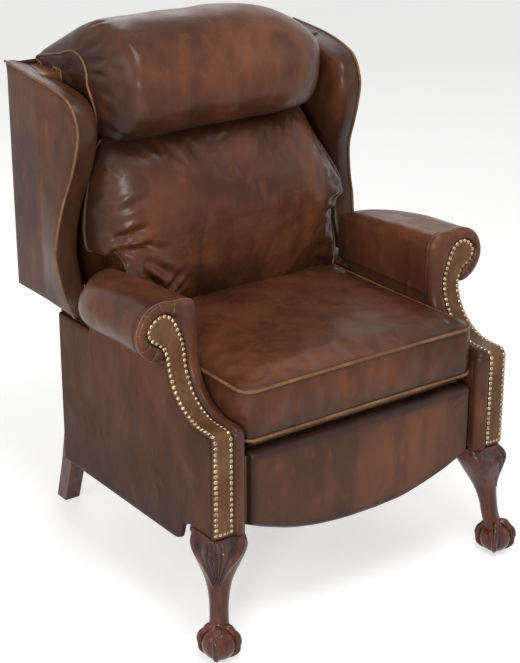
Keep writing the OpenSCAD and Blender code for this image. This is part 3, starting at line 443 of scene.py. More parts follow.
@dataclass(frozen=True)
class Metal:
    """Metal or paint with a faint mottled patina and small scratches in its gloss."""

    name: str
    colour: tuple[float, float, float]
    patina: tuple[float, float, float]
    rough: float
    metallic: float = 1.0

    def make(self) -> bpy.types.Material:
        """Builds the material."""
        g = Graph(self.name)
        mottled = g.ranged(g.noise(160, 4), 0.4, 0.72, 0, 1)
        scratched = g.noise(240, 3, 0, (1, 1, 0.2))
        g.shade(Base_Color=g.blend(mottled, self.colour, self.patina), Metallic=self.metallic,
                Roughness=g.ranged(scratched, 0.3, 0.7, self.rough - 0.08, self.rough + 0.1),
                Normal=g.bump(g.noise(420, 3), 0.0001, 0.25))
        return g.material


@dataclass(frozen=True)
class Woven:
    """Plain woven cloth: two sets of ribs at right angles."""

    name: str
    colour: tuple[float, float, float]
    pitch: float = 700.0

    def make(self) -> bpy.types.Material:
        """Builds the material."""
        g = Graph(self.name)
        ribs = []
        for axis in ("X", "Y"):
            wave = g.node("ShaderNodeTexWave", bands_direction=axis, Scale=self.pitch)
            g.link(g.place, wave.inputs["Vector"])
            ribs.append(wave.outputs["Fac"])
        both = g.node("ShaderNodeMath", operation="MAXIMUM")
        g.link(ribs[0], both.inputs[0])
        g.link(ribs[1], both.inputs[1])
        dark = tuple(0.6 * c for c in self.colour)
        g.shade(Base_Color=g.blend(both.outputs[0], dark, self.colour), Roughness=0.85,
                Normal=g.bump(both.outputs[0], 0.0004, 0.6))
        return g.material


@dataclass(frozen=True)
class Moulded:
    """Moulded plastic with a fine matte grain."""

    name: str
    colour: tuple[float, float, float]

    def make(self) -> bpy.types.Material:
        """Builds the material."""
        g = Graph(self.name)
        darkened = tuple(0.85 * c for c in self.colour)
        g.shade(Base_Color=g.blend(g.noise(60, 2), self.colour, darkened), Roughness=0.45,
                Normal=g.bump(g.noise(900, 2), 0.0001, 0.3))
        return g.material


class Finish(Enum):
    """Finishes of the chair, each with the record's slot that it belongs to."""

    LEATHER = ("leather", Leather("rubbed_leather"))
    PANEL = ("leather", Leather(
        "panel_leather", deep=(0.050, 0.0165, 0.0080), warm=(0.118, 0.0400, 0.0150), gloss=0.06, coat=0.02, cloud=3.0))
    FACING = ("facing_leather", Leather(
        "nailed_leather", deep=(0.105, 0.0470, 0.0200), warm=(0.185, 0.0880, 0.0380), edge=(0.040, 0.0180, 0.0100),
        gloss=0.12, coat=0.05, cloud=9.0))
    WELT = ("facing_leather", Leather(
        "welt_leather", deep=(0.150, 0.0640, 0.0270), warm=(0.270, 0.1300, 0.0560), edge=(0.06, 0.028, 0.015),
        rough=0.40, cloud=14.0))
    DARK_WELT = ("leather", Leather(
        "dark_welt_leather", deep=(0.060, 0.0260, 0.0150), warm=(0.130, 0.0600, 0.0300), edge=(0.03, 0.013, 0.008),
        cloud=14.0))
    MAHOGANY = ("mahogany", Wood("carved_mahogany", (0.125, 0.0290, 0.0150), (0.052, 0.0130, 0.0080), 0.22, 0.22))
    FRAME_WOOD = ("frame_wood", Wood("beech", (0.52, 0.35, 0.20), (0.40, 0.25, 0.13), 0.6, 0.0))
    BRASS = ("facing_leather", Metal("antique_brass", (0.48, 0.35, 0.22), (0.15, 0.10, 0.06), 0.27))
    STEEL = ("steel", Metal("painted_steel", (0.045, 0.046, 0.050), (0.07, 0.07, 0.075), 0.42, 0.2))
    SPRING = ("spring_steel", Metal("tempered_steel", (0.42, 0.42, 0.44), (0.20, 0.19, 0.18), 0.35))
    NYLON = ("nylon", Moulded("roller_nylon", (0.80, 0.79, 0.74)))
    DECK = ("deck_cloth", Woven("woven_deck", (0.045, 0.035, 0.030)))
    WEBBING = ("webbing", Woven("elastic_webbing", (0.05, 0.05, 0.055), 500.0))

    @property
    def slot(self) -> str:
        """Material slot of the record."""
        return self.value[0]

    @cache
    def material(self) -> bpy.types.Material:
        """The finish's material, built on its first use."""
        return self.value[1].make()


# Objects


def make_object(name: str, surface: Surface, finish: Finish) -> bpy.types.Object:
    """Mesh object of a surface, at the origin, with its finish and its tone attribute of painted shade.

    Args:
        name: the piece's name.
        surface: the shape in millimetres.
        finish: what it is made of.

    Returns:
        The object, linked into the scene.
    """
    mesh = bpy.data.meshes.new(name)
    mesh.from_pydata((surface.points * MM).tolist(), [], surface.quads.tolist() + surface.tris.tolist())
    mesh.validate()
    mesh.attributes.new("tone", "FLOAT", "POINT").data.foreach_set("value", surface.shades().astype(np.float32))
    mesh.polygons.foreach_set("use_smooth", np.full(len(mesh.polygons), True))
    mesh.update()
    made = bpy.data.objects.new(name, mesh)
    bpy.context.scene.collection.objects.link(made)
    made.data.materials.append(finish.material())
    return made


def add_subdivision(piece: bpy.types.Object) -> None:
    """Subdivision surface of one level, on screen and in the render."""
    modifier = piece.modifiers.new("subdivision", "SUBSURF")
    modifier.levels = modifier.render_levels = 1


def place(piece: bpy.types.Object, body: Body, finish: Finish, replaced: Iterable[str] = (),
          fill: float | None = None) -> None:
    """Lets a piece ride on its body and hides what it stands for."""
    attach(piece, body.value)
    names = tuple(replaced)
    if names:
        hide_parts(*names)
    LOG.info("%s: %d points, rides on %s", piece.name, len(piece.data.vertices), body.value)


def add_piece(name: str, surface: Surface, body: Body, finish: Finish, replaced: Iterable[str] = (),
              fill: float | None = None) -> None:
    """Makes and places a piece whose surface needs no more work."""
    place(make_object(name, surface, finish), body, finish, replaced, fill)


def mesh_points(piece: bpy.types.Object) -> tuple[Array, Array]:
    """Points in millimetres and normals of a piece's mesh."""
    count = len(piece.data.vertices)
    points, normals = np.empty(count * 3), np.empty(count * 3)
    piece.data.vertices.foreach_get("co", points)
    piece.data.vertices.foreach_get("normal", normals)
    return points.reshape(-1, 3) / MM, normals.reshape(-1, 3)


def set_points(piece: bpy.types.Object, points: Array) -> None:
    """Moves a mesh's points, given in millimetres."""
    piece.data.vertices.foreach_set("co", (points * MM).ravel())
    piece.data.update()


def inflate(piece: bpy.types.Object, free: Array, pressure: float, grow: float, cap: float, frames: int = 20) -> None:
    """Lets cloth simulation swell a pad between its seams, with its result kept in the mesh.

    Args:
        piece: the closed pad.
        free: share from 0, held at a seam, to 1, free.
        pressure: pressure inside.
        grow: how much larger than the shape the leather is cut, which gives it folds at the seams.
        cap: furthest that a point may move, in millimetres.
        frames: frames that are run.
    """
    before, _ = mesh_points(piece)
    group = piece.vertex_groups.new(name="held")
    held = 1 - np.clip(free, 0, 1)
    for level in np.unique(np.round(held, 1)):
        where = np.nonzero(np.round(held, 1) == level)[0]
        if level > 0:
            group.add(where.tolist(), float(level), "REPLACE")
    modifier = piece.modifiers.new("swell", "CLOTH")
    settings = modifier.settings
    settings.vertex_group_mass = "held"
    settings.pin_stiffness = 3
    settings.mass = 0.4
    settings.quality = 6
    settings.tension_stiffness = settings.compression_stiffness = 18
    settings.shear_stiffness = 6
    settings.bending_stiffness = 2.5
    settings.tension_damping = settings.compression_damping = 12
    settings.shrink_min = -grow
    settings.use_pressure = True
    settings.uniform_pressure_force = pressure
    settings.effector_weights.gravity = 0
    modifier.collision_settings.use_self_collision = False
    modifier.point_cache.frame_start, modifier.point_cache.frame_end = 1, frames
    scene = bpy.context.scene
    for frame in range(1, frames + 1):
        scene.frame_set(frame)
    swollen = piece.evaluated_get(bpy.context.evaluated_depsgraph_get()).to_mesh()
    after = np.empty(len(swollen.vertices) * 3)
    swollen.vertices.foreach_get("co", after)
    piece.modifiers.remove(modifier)
    piece.vertex_groups.remove(group)
    move = after.reshape(-1, 3) / MM - before
    size = np.linalg.norm(move, axis=1, keepdims=True)
    set_points(piece, before + move * np.minimum(1, cap / np.maximum(size, 1e-6)))
    scene.frame_set(1)


def welt(name: str, path: Array, body: Body, radius: float = 3.0, up: Sequence[float] = (0, 0, 1),
         closed: bool = False, finish: Finish = Finish.WELT) -> None:
    """Piping sewn into a seam: a round tube along it."""
    add_piece(name, tube(path, radius, 10, up, closed), body, finish)


def panel(height: Callable[[Array, Array], Array], us: Array, vs: Array, thick: float, edge: float, puff: float,
          dark: float = 22.0) -> Surface:
    """Upholstered panel: a flat back, a rounded edge and a crowned face.

    Off the back by e, with e = thick times a quarter circle within edge of the border, plus
    puff (1 - (2u - 1)^4)(1 - (2v - 1)^4).

    Args:
        height: gives the points at places u, v and distance e off the back.
        us: places across, in millimetres from one side.
        vs: places up, likewise.
        thick: thickness at the border.
        edge: radius of the rounded border.
        puff: crown of the face.
        dark: how far in from the border the painted shade reaches.
    """
    u, v = np.meshgrid(us, vs)
    distance = np.minimum(np.minimum(u, us[-1] - u), np.minimum(v, vs[-1] - v))
    crown = (1 - (2 * u / us[-1] - 1) ** 4) * (1 - (2 * v / vs[-1] - 1) ** 4)
    off = thick * edge_rise(distance, edge) + puff * crown
    # Painted shade along the border, fading inwards.
    return slab(height(u, v, off), height(u, v, np.zeros_like(off)), np.exp(-distance / dark))


# Soft cushions


def soft_rectangle(half_x: float, half_y: float, corner: float, draw: float, count: int) -> Array:
    """Rounded rectangle whose sides are drawn in by draw (1 - u^2) between the corners, counter-clockwise from +X."""
    u = np.linspace(-1, 1, 14)[:-1]
    t = np.linspace(0, np.pi / 2, 8)[:-1]
    sides = []
    for k in range(4):
        reach, other = (half_y, half_x) if k % 2 else (half_x, half_y)
        side = np.stack([reach - draw * (1 - u ** 2), u * (other - corner)], -1)
        arc = np.stack([reach - corner + corner * np.cos(t), other - corner + corner * np.sin(t)], -1)
        c, s = math.cos(k * math.pi / 2), math.sin(k * math.pi / 2)
        sides.append(np.vstack([side, arc]) @ np.array([[c, s], [-s, c]]))
    outline = np.vstack(sides)
    return even_path(np.vstack([outline, outline[:1]]), count + 1)[:-1]


@dataclass
class SeatCushion:
    """Boxed seat cushion with piping on both seams, drawn-in sides and a crowned top.

    Args:
        folds: ends, width and depth of each fold.
    """

    half_w: float = 272.8
    half_d: float = 243.0
    mid_y: float = -98.0
    corner: float = 24.0
    draw: float = 2.5
    low: float = 408.4
    seam_low: float = 411.5
    seam_high: float = 505.5
    crown: float = 17.0
    belly: float = 3.0
    around: int = 200
    folds: tuple[Fold, ...] = (
        ((-262, -322, 500), (-225, -300, 440), 5, 2.5), ((-268, -290, 498), (-272, -240, 440), 5, 2.2),
        ((250, -330, 498), (222, -338, 450), 5, 2.4), ((-180, -337, 498), (-168, -338, 455), 6, 1.3),
        ((60, -335, 498), (52, -335, 460), 7, 1.0), ((-230, -310, 512), (-170, -250, 517), 9, 1.6),
        ((235, -312, 512), (190, -250, 517), 9, 1.4))

    def ring(self, grow: float, z: float) -> Array:
        """Outline grown by some millimetres at a height."""
        flat = soft_rectangle(self.half_w + grow, self.half_d + grow, self.corner + grow, self.draw, self.around)
        return np.column_stack([flat[:, 0], flat[:, 1] + self.mid_y, np.full(len(flat), z)])

    def shape(self) -> Surface:
        """Bottom, boxing and crowned top in rings from the middle of the bottom to the middle of the top.

        The top's height over the seam is crown (0.75 (1 - s^10)^0.5 + 0.25 (1 - s^2)) at share s of the way out,
        and the boxing bulges by belly sin(pi h)^0.8 at share h of its height.
        """
        edge = self.ring(0, 0)[:, :2] - [0, self.mid_y]
        shares = np.array([0.04, 0.2, 0.4, 0.6, 0.8, 0.92, 0.985])
        rings = [np.column_stack([edge * s + [0, self.mid_y], np.full(len(edge), self.low)]) for s in shares]
        # Painted shade: even on the bottom, on the boxing towards both seams and its lower edge, and on the top next to
        # its seam.
        shade_tones = [0.3] * len(shares)
        boxing = self.seam_high - self.seam_low
        for h in np.linspace(0, 1, 13):
            rings.append(self.ring(self.belly * math.sin(math.pi * h) ** 0.8, self.seam_low + h * boxing))
            shade_tones.append(0.75 * math.exp(-min(h, 1 - h) * 9) + 0.35 * (1 - h) ** 2)
        for s in np.concatenate([[0.992, 0.98, 0.96], np.linspace(0.93, 0.04, 30)]):
            z = self.seam_high + self.crown * (0.75 * math.sqrt(1 - s ** 10) + 0.25 * (1 - s ** 2))
            rings.append(np.column_stack([edge * s + [0, self.mid_y], np.full(len(edge), z)]))
            shade_tones.append(0.55 * math.exp(-(1 - s) * 22))
        rings = np.stack(rings)
        tone = np.repeat(np.array(shade_tones)[:, None], rings.shape[1], 1)
        return loft(rings, tone)

    def build(self) -> None:
        """Cushion with its folds, and its two lines of piping."""
        surface = self.shape()
        piece = make_object("seat_cushion_leather", surface, Finish.LEATHER)
        p, _ = mesh_points(piece)
        level = np.minimum(abs(p[:, 2] - self.seam_low), abs(p[:, 2] - self.seam_high))
        free = np.clip(level / 9, 0, 1) * (p[:, 2] > self.seam_low)
        inflate(piece, free, 3.0, 0.012, 7)
        p, n = mesh_points(piece)
        free = np.clip(np.minimum(abs(p[:, 2] - self.seam_low), abs(p[:, 2] - self.seam_high)) / 8, 0, 1)
        move = 1.5 * ripple(p, 170, 11) * free
        for fold in self.folds:
            move = move + crease(p, *fold) * free
        set_points(piece, p + n * move[:, None])
        add_subdivision(piece)
        place(piece, Body.SEAT, Finish.LEATHER, ["seat_cushion"], 0.75)
        for word, z in (("top", self.seam_high + 1), ("bottom", self.seam_low)):
            welt(f"seat_welt_{word}", self.ring(1.0, z), Body.SEAT, 3.1, closed=True)


@dataclass
class LumbarCushion:
    """Soft pillow at the small of the back: domed face, shallow rear, and side seams drawn out into ears.

    Args:
        left: places along the left seam as share of the height, X, Y and Z.
        right: the same for the right seam.
        folds: ends, width and depth of the folds from the ears and corners, and of small vertical creases.
    """

    low: float = 510.0
    high: float = 864.0
    front_y: float = 47.0
    rear_y: float = 234.5
    cols: int = 141
    rows: int = 121
    left: tuple[tuple[float, ...], ...] = (
        (0, -264, 74, 511), (0.08, -272, 48, 538), (0.18, -274.5, 37, 580), (0.26, -271, 44, 612),
        (0.32, -267, 62, 631), (0.37, -264, 86, 643), (0.41, -267, 108, 649), (0.44, -273, 131, 646),
        (0.465, -281, 148, 640), (0.487, -289, 157, 638), (0.51, -294, 159, 648), (0.56, -295, 163, 680),
        (0.63, -292, 163, 718),
        (0.72, -286, 163, 752), (0.82, -278, 164, 795), (0.92, -268, 160, 835), (1, -250, 156, 861))
    right: tuple[tuple[float, ...], ...] = (
        (0, 262, 90, 512), (0.1, 271, 99, 550), (0.2, 272, 108, 582), (0.3, 271.5, 117, 612), (0.36, 272, 121, 636),
        (0.40, 277, 117, 651), (0.455, 291, 108, 670), (0.53, 288, 108, 697), (0.61, 275, 116, 727),
        (0.71, 257, 130, 764), (0.82, 240, 144, 800), (0.92, 224, 153, 834), (1, 204, 157, 859))
    folds: tuple[Fold, ...] = (
        ((-286, 140, 652), (-216, 66, 694), 9, 8.5), ((-284, 146, 640), (-196, 62, 664), 8, 8.5),
        ((-262, 96, 656), (-176, 56, 648), 8, 5.5), ((-250, 74, 640), (-214, 56, 586), 8, 5.0),
        ((-236, 62, 640), (-176, 50, 600), 9, 4.5), ((-226, 58, 622), (-196, 50, 560), 8, 4.5),
        ((-205, 56, 618), (-150, 48, 585), 9, 3.0), ((-214, 58, 600), (-180, 50, 560), 7, 3.2),
        ((-232, 62, 520), (-142, 50, 596), 8, 6.0), ((-200, 62, 516), (-128, 50, 578), 7, 5.0),
        ((-262, 110, 720), (-205, 62, 756), 9, 2.5),
        ((290, 108, 676), (240, 66, 706), 8, 4.5), ((288, 110, 664), (240, 66, 664), 8, 5.5),
        ((276, 116, 650), (236, 66, 628), 8, 4.5), ((274, 116, 726), (236, 72, 720), 8, 3.0),
        ((262, 98, 545), (205, 58, 580), 9, 2.6), ((255, 92, 520), (190, 56, 548), 8, 3.0),
        ((246, 110, 770), (222, 74, 730), 9, 2.0),
        ((-176, 100, 858), (-150, 58, 796), 5, 2.6), ((-118, 96, 856), (-100, 56, 800), 5, 2.0),
        ((-40, 94, 858), (-28, 56, 812), 6, 1.5), ((62, 94, 858), (78, 58, 800), 6, 1.6),
        ((150, 98, 856), (158, 62, 806), 6, 1.6))

    def seam(self, places: Sequence[Sequence[float]], v: Array) -> Array:
        """Points of a side seam at shares v of the height."""
        table = smooth_path(places, 400)
        return np.stack([np.interp(v, table[:, 0], table[:, k]) for k in (1, 2, 3)], -1)

    def shape(self) -> Surface:
        """Two sheets with a shared seam.

        With a from -1 to 1 across and b from -1 to 1 up, a point starts on the line between the two seams, and
        the face takes it to the front by the share (1 - |a|^3)^0.5 (1 - |b|^2.6)^0.5, and the rear sheet takes
        it to the rear by (1 - a^6)^0.6 (1 - b^6)^0.6. A row leaves its own height towards a seam by |a|^3.
        """
        bend = np.linspace(-1, 1, self.cols)
        a1 = np.sin(bend * math.pi / 2) * 0.4 + bend * 0.6
        rise = np.linspace(-1, 1, self.rows)
        b1 = np.sin(rise * math.pi / 2) * 0.3 + rise * 0.7
        a, b = np.meshgrid(a1, b1)
        v = (b + 1) / 2
        left, right = (self.seam(side, v[:, 0])[:, None] for side in (self.left, self.right))
        across = (a[..., None] + 1) / 2
        line = left + (right - left) * across
        own = self.low + v * (self.high - self.low)
        z = own + (np.where(a < 0, left[..., 2], right[..., 2]) - own) * abs(a) ** 3
        y = line[..., 1] + (np.where(a < 0, left[..., 1], right[..., 1]) - line[..., 1]) * abs(a) ** 2
        middle = 150 - 70 * (1 - v) ** 3
        y = middle + (y - middle) * abs(a) ** 1.5
        face = (1 - abs(a) ** 3) ** 0.5 * (1 - abs(b) ** 2.6) ** 0.5
        back = (1 - a ** 6) ** 0.6 * (1 - b ** 6) ** 0.6
        front = np.stack([line[..., 0], y + (self.front_y - y) * face, z], -1)
        rear = np.stack([line[..., 0], y + (self.rear_y - y) * back, z], -1)
        near = np.minimum((1 - abs(a)) * 275, (1 - abs(b)) * 177)
        # Painted shade towards the pillow's seams and its top and bottom edges.
        return slab(front, rear, 0.85 * np.exp(-near / 34))

    def build(self) -> None:
        """Pillow, swollen between its seams and folded, and piping down both sides."""
        piece = make_object("lumbar_leather", self.shape(), Finish.LEATHER)
        p, _ = mesh_points(piece)
        v = np.linspace(0, 1, 300)
        seams = np.vstack([self.seam(self.left, v), self.seam(self.right, v)])
        away = np.sqrt(((p[:, None] - seams[None, ::4]) ** 2).sum(-1)).min(1)
        near = np.minimum(away, np.minimum(p[:, 2] - self.low, self.high - p[:, 2]))
        free = np.clip(near / 18, 0, 1) * (p[:, 1] < 150)
        inflate(piece, free, 2.5, 0.006, 5)
        p, n = mesh_points(piece)
        front = np.clip((150 - p[:, 1]) / 30, 0, 1)
        folds = sum(crease(p, *fold) for fold in self.folds)
        move = (folds + 3.0 * ripple(p, 210, 5) + 0.8 * ripple(p, 60, 8)) * front * np.clip(away / 5, 0, 1)
        set_points(piece, p + n * move[:, None])
        p, _ = mesh_points(piece)
        p[:, 1] = np.minimum(p[:, 1], 235.0)
        p[:, 2] = np.maximum(p[:, 2], self.low - 1)
        set_points(piece, p)
        add_subdivision(piece)
        place(piece, Body.BACK, Finish.LEATHER, ["lumbar_cushion"], 0.7)
        for side, places in ((Side.LEFT, self.left), (Side.RIGHT, self.right)):
            path = even_path(self.seam(places, np.linspace(0.004, 0.99, 300)), 120)
            path = path + [side.value * 1.5, -1.0, 0]
            welt(f"lumbar_welt_{side.tag}", path, Body.BACK, 3.0, up=(side.value, 0.35, 0.2), finish=Finish.DARK_WELT)


@dataclass
class HeadCushion:
    """Pillow over the top of the back: bulging front, long rear slope, and ends closed by sewn panels.

    Args:
        folds: ends, width and depth of the gathers at both ends and of the fine creases in the front.
    """

    half: float = 291.0
    low: float = 862.0
    top: float = 1084.0
    wall: float = 235.4
    base: float = 980.5
    rear_y: float = 333.0
    folds: tuple[Fold, ...] = (
        ((-284, 170, 1034), (-246, 108, 1052), 7, 4.5), ((-282, 140, 1012), (-226, 76, 1022), 8, 6.0),
        ((-280, 130, 990), (-216, 58, 980), 8, 5.5), ((-278, 118, 962), (-222, 48, 944), 8, 4.5),
        ((-276, 112, 930), (-226, 48, 906), 9, 4.0), ((-276, 110, 898), (-236, 60, 880), 8, 4.0),
        ((-262, 176, 1074), (-236, 150, 1086), 6, 2.5), ((-232, 96, 1066), (-222, 66, 1040), 6, 2.0),
        ((272, 160, 1000), (232, 104, 1020), 7, 3.4), ((274, 150, 980), (226, 92, 984), 8, 3.6),
        ((274, 148, 950), (232, 96, 938), 8, 3.2), ((272, 150, 915), (236, 104, 896), 8, 3.0),
        ((-20, 44, 1020), (-28, 34, 968), 3.5, 1.2), ((24, 44, 1022), (20, 34, 970), 3.5, 1.2),
        ((-72, 38, 1000), (-66, 34, 968), 3.5, 0.9), ((-4, 80, 1066), (12, 62, 1044), 4, 1.0))

    def section(self, count: int) -> Array:
        """Closed section in Y and Z: front bulge, crown, rear slope, cap over the frame, flat rear, underside."""
        z, h = self.low, self.top - self.low
        points = [(112, z + 5), (66, z + h * 0.07), (38, z + h * 0.24), (30, z + h * 0.44), (37, z + h * 0.63),
                  (60, z + h * 0.81), (94, z + h * 0.935), (132, self.top - 2), (168, self.top - 1),
                  (212, self.top - 14), (250, self.top - 32), (298, self.top - 58),
                  (self.rear_y - 6, self.base + 27), (self.rear_y - 4, self.base + 8),
                  (self.rear_y - 24, self.base), (self.wall + 14, self.base), (self.wall, self.base - 4),
                  (self.wall, z + h * 0.3), (self.wall - 5, z + h * 0.08), (190, z + 5)]
        return smooth_path(points, count, True)

    def taper(self, x: Array) -> tuple[Array, Array]:
        """Shares of the front's reach and of the rise at places along X.

        The left end is full up to a quarter superellipse over its last 70 mm. The right end rounds off over its
        whole half: the front by (1 - (x / half)^4)^0.8 and the rise by (1 - (x / 262)^2.2)^0.8.
        """
        out = np.clip(abs(x) / self.half, 0, 1)
        turn = np.clip((abs(x) - 222) / 70, 0, 1)
        boxed = 0.12 + 0.88 * (1 - turn ** 3) ** (1 / 2.2)
        front = np.where(x < 0, boxed, (1 - out ** 4) ** 0.8)
        rise = np.where(x < 0, boxed, np.clip(1 - (abs(x) / 262) ** 2.2, 0, 1) ** 0.8)
        return front, rise

    def ring(self, x: Array, section: Array) -> Array:
        """Rings at places along X: the section's front drawn in towards the wall, and its top down to the frame.

        A point in front of the wall also leans inwards with the wings, towards the ends.
        """
        front, rise = self.taper(x)
        y, z = section[None, :, 0], section[None, :, 1]
        low = np.where(x < 0, 0.4, 0.0)[:, None] * np.clip((969 - z) / 100, 0, 1) * (1 - front[:, None])
        y = np.where(y < self.wall, self.wall - (self.wall - y) * (front[:, None] + low), y)
        share = (abs(x) / self.half)[:, None]
        z = np.where(z > self.base, self.base + (z - self.base) * rise[:, None],
                     self.base - (self.base - z) * (1 - 0.14 * share ** 10) + 6 * (x[:, None] < -100) * (-share) ** 3)
        lean = 0.10 * np.clip(self.wall - y, 0, None) * share ** 4
        lean = lean + 0.10 * np.clip(z - self.base, 0, None) * share ** 12
        return np.stack([x[:, None] - np.sign(x)[:, None] * lean, y, z], -1)

    def places(self) -> Array:
        """Places of the rings, closer together towards both ends."""
        t = np.sin(np.linspace(-1, 1, 111) * math.pi / 2)
        return self.half * (0.55 * t + 0.45 * np.linspace(-1, 1, 111))

    def shape(self) -> Surface:
        """Rings along X, closed at each end by a panel that sinks a little inside its seam."""
        rings = self.ring(self.places(), self.section(150))
        mid = np.array([0, 225.0, self.base + 4])

        def inset(end: Array, share: float) -> Array:
            """An end ring drawn in to a share of its size."""
            flat = mid + (end - mid) * share
            flat[:, 0] = end[:, 0] + math.copysign(2.5 * (1 - share) - 0.4, end[0, 0])
            return flat

        rings = np.stack([inset(rings[0], k) for k in (0.25, 0.6, 0.93)] + list(rings)
                         + [inset(rings[-1], k) for k in (0.93, 0.6, 0.25)])
        # Painted shade along the underside, where the pillow sits on the lumbar cushion, and towards both ends.
        low = np.exp(-np.clip(rings[:, :, 2] - self.low - 8, 0, None) / 26)
        ends = np.clip((abs(rings[:, :, 0]) / self.half - 0.55) / 0.45, 0, 1) ** 1.5
        return loft(rings, np.clip(0.85 * low + 0.85 * ends, 0, 1))

    def build(self) -> None:
        """Pillow with gathers at its ends, fine creases in its front, and the piping round its ends."""
        piece = make_object("head_leather", self.shape(), Finish.LEATHER)
        p, _ = mesh_points(piece)
        front = np.clip((205 - p[:, 1]) / 30, 0, 1) * np.clip((p[:, 2] - self.low - 10) / 20, 0, 1)
        free = front * np.clip((self.half - 12 - abs(p[:, 0])) / 24, 0, 1)
        inflate(piece, free, 2.5, 0.018, 8)
        p, n = mesh_points(piece)
        move = 2.4 * ripple(p, 230, 21) + 0.7 * ripple(p, 70, 22)
        for fold in self.folds:
            move = move + crease(p, *fold)
        move = move * np.clip((225 - p[:, 1]) / 30, 0, 1)
        set_points(piece, p + n * move[:, None])
        add_subdivision(piece)
        place(piece, Body.BACK, Finish.LEATHER, ["head_cushion"], 0.7)
        for side in Side:
            path = self.ring(np.array([side.value * (self.half - 1.0)]), self.section(170))[0]
            path[:, 0] += side.value * 1.2
            # The right end's piping takes the darker welt leather: painted shade on the end turned from the light.
            finish = Finish.WELT if side is Side.LEFT else Finish.DARK_WELT
            welt(f"head_welt_{side.tag}", path, Body.BACK, 2.3, up=(1, 0, 0), closed=True, finish=finish)


# Wings


